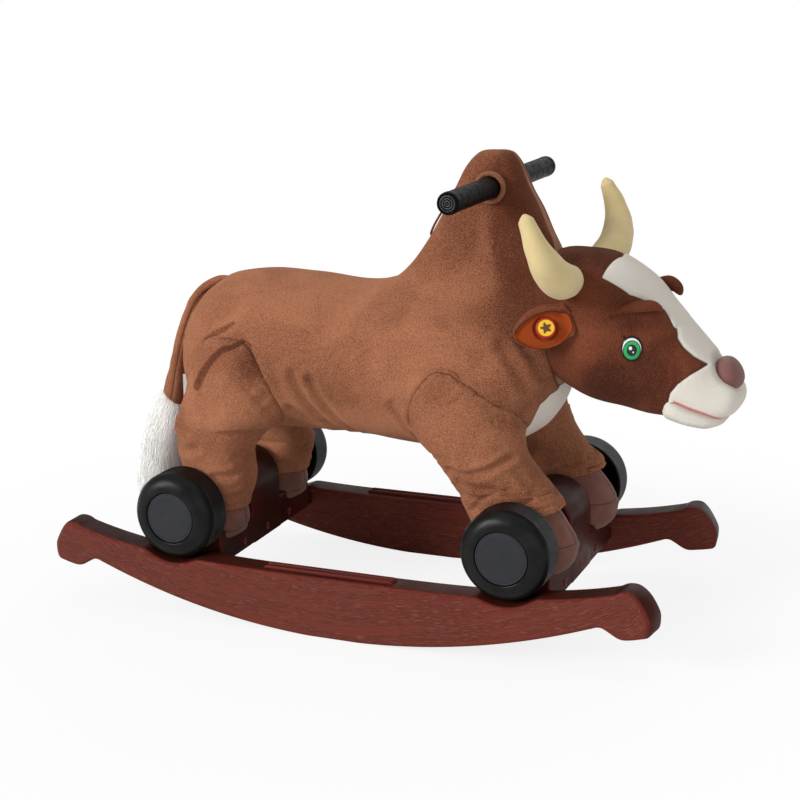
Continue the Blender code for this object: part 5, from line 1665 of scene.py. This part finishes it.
    def build_brow(self, side: Side) -> None:
        """A stuffed lid over the eye, fuller on the left: a tube along a bent line, thin at its ends."""
        points, full = {
            Side.RIGHT: (((0.348, 0.073, 0.44), (0.362, 0.069, 0.445), (0.376, 0.0615, 0.447),
                          (0.39, 0.05, 0.446), (0.399, 0.041, 0.44)), 0.0068),
            Side.LEFT: (((0.352, 0.068, 0.448), (0.368, 0.062, 0.4535), (0.384, 0.053, 0.456),
                         (0.396, 0.043, 0.453), (0.404, 0.034, 0.445)), 0.0086)}[side]
        route = even_curve(points, 60) * (1, side.value, 1)
        bulge = np.clip(np.sin(math.pi * np.linspace(0.0, 1.0, 60) ** 1.1), 0, 1) ** 0.55
        grid = swept(route, 0.0006 + full * bulge, 36, (0, 0, 1))
        grid = pushed(grid, 0.0005 * lumps(grid, 0.02, 2.0))
        brow = Skin(f"{side.label}_brow").add(grid, plush_fields(0.04))
        mount(brow.make(), self.finishes.head, fill=0.8)

    def build_eye(self, side: Side, material: Material) -> None:
        """A domed oval eye with its print's coordinates, and a stitched lash."""
        name = f"{side.label}_eye"
        a = np.linspace(0.0, math.pi / 2, 26)
        dome = together(self.eye_radius * np.cos(a) ** 0.8, 0.0006 + 0.0046 * np.sin(a))
        dome[-1, 0] = 0.0002
        axis = unit(np.array((0.32, side.value * 0.93, 0.05)))
        centre = np.array((0.3691, side.value * 0.0748, 0.3964))
        right = unit(np.cross((0, 0, 1), axis) * -side.value)
        facing = np.stack([right, np.cross(right, axis) * side.value, axis])
        local = turned([(0.012, -0.008), (0.0156, -0.004), *dome], 80, (0, 0, 0), axis)
        disc = local @ facing.T / self.eye_radius
        grid = centre + local - 0.15 * (local @ right)[..., None] * right
        mount(Skin(name).add(grid, {"disc": disc}).make(60), material, name, slot="eye_plastic")
        lash = [(-0.0085, 0.013, 0.0012), (-0.011, 0.015, 0.0022), (-0.0118, 0.0185, 0.003)]
        grid = swept(centre + even_curve(lash, 12) @ facing, np.linspace(0.001, 0.0003, 12), 10)
        mount(Skin(f"{name}_lash").add(grid).make(), self.finishes.lash, slot="eye_plastic")

    def eye_material(self) -> Material:
        """Green iris round a dark pupil, set low in a white ball with a black rim."""
        r = Recipe("eye_print", Specular_IOR_Level=0.3, Coat_Weight=0.2, Coat_Roughness=0.12)
        split = r.add("SeparateXYZ", {0: r.stored("disc", "Vector")})

        def inked(colour: Socket, place: tuple[float, float], low: float, high: float,
                  ink: Socket | Colour) -> Socket:
            """The colour under a round spot, by a step over the distance from its middle."""
            squares = [r.sum("POWER", r.sum("ABSOLUTE", r.sum("SUBTRACT", split.outputs[k], v)), 2.0)
                       for k, v in enumerate(place)]
            return r.mix(r.level(r.sum("SQRT", r.plus(*squares)), low, high), colour, ink)

        threads = r.noise(900.0, 2.0)
        ball = r.mix(r.level(threads, 0.3, 0.7, 0.0, 0.2), linear(232, 232, 228), linear(206, 206, 204))
        green = r.mix(r.level(threads, 0.3, 0.7, 0.0, 0.6), linear(14, 146, 76), linear(36, 186, 100))
        dark, pupil = linear(20, 18, 18), linear(24, 23, 24)
        colour = ball
        for place, size, ink in (((0.0, -0.13), 0.82, dark), ((0.0, -0.13), 0.75, green),
                                 ((0.0, -0.1), 0.47, dark), ((0.0, -0.1), 0.4, pupil),
                                 ((-0.14, 0.06), 0.15, ball), ((0.12, -0.26), 0.07, ball)):
            colour = inked(colour, place, size + 0.02, size - 0.02, ink)
        colour = inked(colour, (0.0, 0.0), 0.83, 0.87, dark)
        return r.done(colour, 0.32, r.relief(threads, 0.0001))

    def build_horn(self, side: Side) -> None:
        """A horn out from the skull, then up: a quadratic curve whose radius runs out at the tip."""
        bends = np.array([(0.2833, 0.0562, 0.4755), (0.301, 0.1918, 0.4852),
                               (0.2612, 0.1704, 0.5735)]) * (1, side.value, 1)
        t = np.concatenate([np.linspace(-0.1, 0.94, 100), np.linspace(0.945, 1.0, 26)])
        route = together((1 - t) ** 2, 2 * t * (1 - t), t**2) @ bends
        radius = np.interp(t, (-0.1, 0.0, 0.1, 0.2, 0.3, 0.4, 0.5, 0.6, 0.7, 0.8, 0.9, 1.0),
                           (0.006, 0.0178, 0.0215, 0.0233, 0.0231, 0.0221, 0.0209, 0.0191,
                            0.0165, 0.0138, 0.011, 0.0085))
        radius *= np.clip((1 - t) / 0.045, 0.0, 1.0) ** 0.5
        grid = swept(route, np.maximum(radius, 0.0003), 80, (1, 0, 0))
        push = 0.0007 * lumps(grid, 0.035, 5.0)
        if side is Side.LEFT:
            angle = angles(80)
            seam = np.minimum(angle, 2 * math.pi - angle) * radius[:, None]
            push += 0.0006 * np.sin(t * 95)[:, None] * bell(seam, 0.012) * ease(0.8, 0.5, t)[:, None]
        soft(f"{side.label}_horn", pushed(grid, push), {"seam": FAR}, self.finishes.horn, 0.95)

    def build_ear(self, side: Side) -> None:
        """A leaf-shaped ear: a thick rolled rim round a sunken lining, and on the right the badge."""
        root, tip, face = np.array([(0.293, 0.081, 0.431), (0.23, 0.117, 0.411),
                                    (0.35, 0.86, 0.36)]) * (1, side.value, 1)
        length = tip - root
        lengthwise = unit(length)
        face = unit(face - np.dot(face, lengthwise) * lengthwise)
        down = -side.value * np.cross(face, lengthwise)
        table = np.array([(-0.02, 0.01, 0.004), (0.0, 0.015, 0.006), (0.15, 0.0225, 0.0068),
                          (0.35, 0.0268, 0.007), (0.58, 0.0262, 0.0068), (0.8, 0.02, 0.0062),
                          (0.93, 0.0125, 0.0052), (1.0, 0.0055, 0.0035), (1.015, 0.0008, 0.0008)])
        share = np.linspace(-0.02, 1.015, 130)[:, None]
        wide, thick = through(table[:, 0], table[:, 1:], share.ravel()).T[..., None]
        c, s = oval(150, 2.6)
        leaf = np.abs((share - 0.52) / 0.5) ** 3.2 + np.abs((c - 0.2) / 0.82) ** 3.2
        rim = np.where(s > 0, (1 - leaf ** (1 / 3.2)) * 0.022, -FAR)
        sunk = -0.0034 * ease(0.0, 0.003, rim) + 0.0016 * bell(rim + 0.004, 0.003)
        pinch = 0.005 * bell(share - 0.13, 0.12) * bell(c + 0.3 + share, 0.16)
        out = thick * s + (sunk - pinch) * (s > 0)
        grid = root + share[..., None] * length + (wide * c)[..., None] * down + out[..., None] * face
        middle = root + length * 0.47 + down * 0.003
        if side is Side.RIGHT:
            from_axis = np.linalg.norm(np.cross(grid - middle, face), axis=-1)
            grid = pushed(grid, -0.003 * ease(0.0165, 0.0138, from_axis) * (s > 0), face)
        # Painted shade in the crease where the ear's root is pinched against the head.
        nap = -0.35 * bell(share - 0.08, 0.07) * bell(c + 0.45, 0.3)
        fields = {**plush_fields(nap), "white": rim, "seam": rim}
        soft(f"{side.label}_ear", grid, fields, self.finishes.ear, 0.7, slot="head_plush")
        if side is Side.RIGHT:
            self.build_badge(middle, face)

    def build_badge(self, centre: Array, face: Array) -> None:
        """The push badge: red rim, yellow disc and a plain five-pointed star."""
        a = np.linspace(0, 2 * math.pi, 25)
        rim = together(0.0114 + 0.0014 * np.cos(a), 0.0076 + 0.0028 * np.sin(a))
        disc = np.vstack([(0.0105, 0.0042), (0.0105, 0.0092),
                          together(0.0105 * np.linspace(1, 0.02, 12), 0.0094)])
        reach = 0.0034 + 0.0042 * (np.abs(((angles(60) * 5 / (2 * math.pi)) % 1.0) - 0.5) * 2) ** 1.3
        levels = np.array([(1.0, 0.009), (1.0, 0.01), (0.9, 0.0104), (0.02, 0.0104)])
        star = turned(levels * (1, 0), 60, (0, 0, 0), face) * reach[None, :, None]
        star += centre + levels[:, 1, None, None] * face
        for name, grid, close, colour, worn, nodes in (
                ("rim", turned(rim, 64, centre, face), False, (178, 30, 26), (140, 22, 20), ()),
                ("disc", turned(disc, 64, centre, face), True, (236, 196, 40), (214, 168, 30),
                 ("ear_button",)),
                ("star", star, True, (104, 56, 30), (80, 42, 22), ())):
            name = f"badge_{name}"
            material = SatinPlastic(name, linear(*colour), linear(*worn), 0.4).material()
            obj = Skin(name).add(grid, close=close).make(40, 0.0 if close else MERGE)
            mount(obj, material, *nodes, body="badge", slot="badge_plastic")


@dataclass
class Tail:
    """A flattened stalk that bends from the back on to its pin, with a tuft of long white pile."""

    finishes: Finishes
    strands: int = 2200

    def build(self) -> None:
        """Stalk, tuft, and the blank label sewn in beside them."""
        stalk = even_curve([(-0.233, 0.0, 0.4385), (-0.246, 0.0, 0.4375), (-0.26, 0.0, 0.431),
                            (-0.276, 0.0, 0.4205), (-0.294, 0.0, 0.3985), (-0.3105, 0.0, 0.36),
                            (-0.3235, 0.0, 0.315), (-0.3315, 0.0, 0.28), (-0.3365, 0.0, 0.259)], 120)
        radius = np.interp(np.linspace(0, 1, 120), (0, 0.08, 0.22, 0.5, 0.8, 1.0),
                           (0.004, 0.0068, 0.0085, 0.0105, 0.0125, 0.0145))
        grid = swept(stalk, radius, 48, flat=1.1)
        normal = normals_of(grid)
        grid = self.slanted(grid)
        seam = np.where(normal[..., 1] < 0, grid[..., 0] - stalk[:, None, 0] - 0.003, FAR)
        push = 0.0006 * lumps(grid, 0.03, 6.0) - 0.001 * bell(seam, 0.0025)
        fields = {**plush_fields(0.04), "seam": seam}
        obj = Skin("tail_stalk").add(pushed(grid, push, normal), fields).make()
        obj.data.materials.append(self.finishes.plush)
        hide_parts("tail_stalk")
        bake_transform(obj)
        self.tuft()
        self.label()

    def slanted(self, grid: Array) -> Array:
        """The points with the tail's hem, and the pile under it, lowered towards the body."""
        x, y, z = axes(grid)
        share = ease(0.31, 0.268, z) * ease(0.2, 0.245, z)
        return together(x, y, z - 0.55 * share * (x + 0.3365 - 0.24 * (z - 0.259)))

    def tuft(self) -> None:
        """The tuft's core under strands of pile that run down it and lift off at their tips."""
        dense = even_curve([(-0.3358, 0.262, 0.0105), (-0.3362, 0.258, 0.014),
                            (-0.3378, 0.25, 0.0198), (-0.344, 0.228, 0.027),
                            (-0.356, 0.192, 0.0312), (-0.366, 0.15, 0.0334),
                            (-0.3715, 0.12, 0.0312), (-0.374, 0.101, 0.023),
                            (-0.374, 0.093, 0.011)], 130)
        line = together(dense[:, 0], 0.0, dense[:, 1])
        grid = self.slanted(swept(line, dense[:, 2], 110))
        soft("tail_tuft", grid, {**plush_fields(), "white": FAR}, self.finishes.pile, 0.7,
             body="tail", slot="white_plush")
        rng = np.random.default_rng(7)
        n = self.strands
        t = np.linspace(0.0, 1.0, 7)
        start = rng.uniform(0.02, 0.8, n)[:, None]
        rows = np.arange(len(dense))
        at = np.clip(start + t * rng.uniform(0.14, 0.3, n)[:, None], 0, 1) * rows[-1]
        turn = rng.uniform(0, 2 * math.pi, n)[:, None] + 0.12 * np.sin(t * 3 + start * 40)
        lift = 0.0001 + 0.0008 * t**1.5 * rng.uniform(0.2, 1.0, n)[:, None]
        x, z, radius = (np.interp(at, rows, dense[:, k]) for k in range(3))
        slopes = np.gradient(line, axis=0)
        along = unit(together(*(np.interp(at, rows, slopes[:, k]) for k in range(3))))
        side = np.cross(along, (0.0, 1.0, 0.0))
        out = np.cos(turn)[..., None] * side + np.sin(turn)[..., None] * np.cross(side, along)
        around = np.cross(along, out)
        thick = (0.0006 * (1 - t) ** 0.6 + 0.0001)[None, :, None]
        spine = together(x, 0.0, z) + (radius + lift)[..., None] * out
        ring = np.stack([spine + thick * around, spine + 0.6 * thick * out, spine - thick * around], 2)
        skin = Skin("tail_strands")
        for strand in self.slanted(ring):
            skin.add(strand, {"white": FAR, "seam": FAR})
        mount(skin.make(), self.finishes.pile, body="tail", slot="white_plush")

    def label(self) -> None:
        """A blank white label that sticks out of the rear seam."""
        t, u = np.linspace(0, 1, 14)[:, None, None], np.linspace(0, 1, 10)[:, None]
        sheet = (np.array((-0.278, -0.03, 0.306)) + t * np.array((-0.002, 0.002, -0.034))
                 + u * np.array((-0.026, 0.006, -0.006))
                 + 0.0016 * np.sin(u * 4) * np.array((0.2, 1.0, 0.0)))
        grid = np.concatenate([sheet, sheet[:, ::-1] + (0.0001, 0.0005, 0.0)], axis=1)
        skin = Skin("blank_label").add(grid, {"seam": FAR})
        mount(skin.make(30), self.finishes.label, slot="white_plush")


def dress_hidden(frame: dict, finishes: Finishes) -> None:
    """Gives the solids that still show their own finish."""
    steel = ("front_axle", "rear_axle", "front_leg_frame", "rear_leg_frame", "spine_tube",
             "handlebar", "jaw_pin", "tail_pin", "battery_door_screw")
    case = ("mouth_drive", "ear_switch", "sound_box", "battery_door")
    for nodes, material in ((steel, finishes.steel), (case, finishes.case)):
        for node in nodes:
            slots = frame["nodes"][node].data.materials
            slots.clear()
            slots.append(material)


def corners(box: tuple[Vector, Vector]) -> list[list[float]]:
    """A box as plain lists."""
    return [list(corner) for corner in box]


def main() -> None:
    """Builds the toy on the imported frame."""
    logging.basicConfig(level=logging.INFO, format="%(message)s")
    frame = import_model()
    Studio().build()
    finishes = Finishes()
    dress_hidden(frame, finishes)
    for side in Side:
        Runner(side, finishes).build()
    for end in End:
        Crossbar(end, finishes).build()
        for side in Side:
            Wheel(end, side, finishes).build()
    Handlebar(finishes).build()
    legs = make_legs(finishes)
    body = Barrel(finishes)
    body.build(legs)
    for leg in legs:
        leg.build(body)
    Head(finishes).build()
    Tail(finishes).build()


if __name__ == "__main__":
    main()
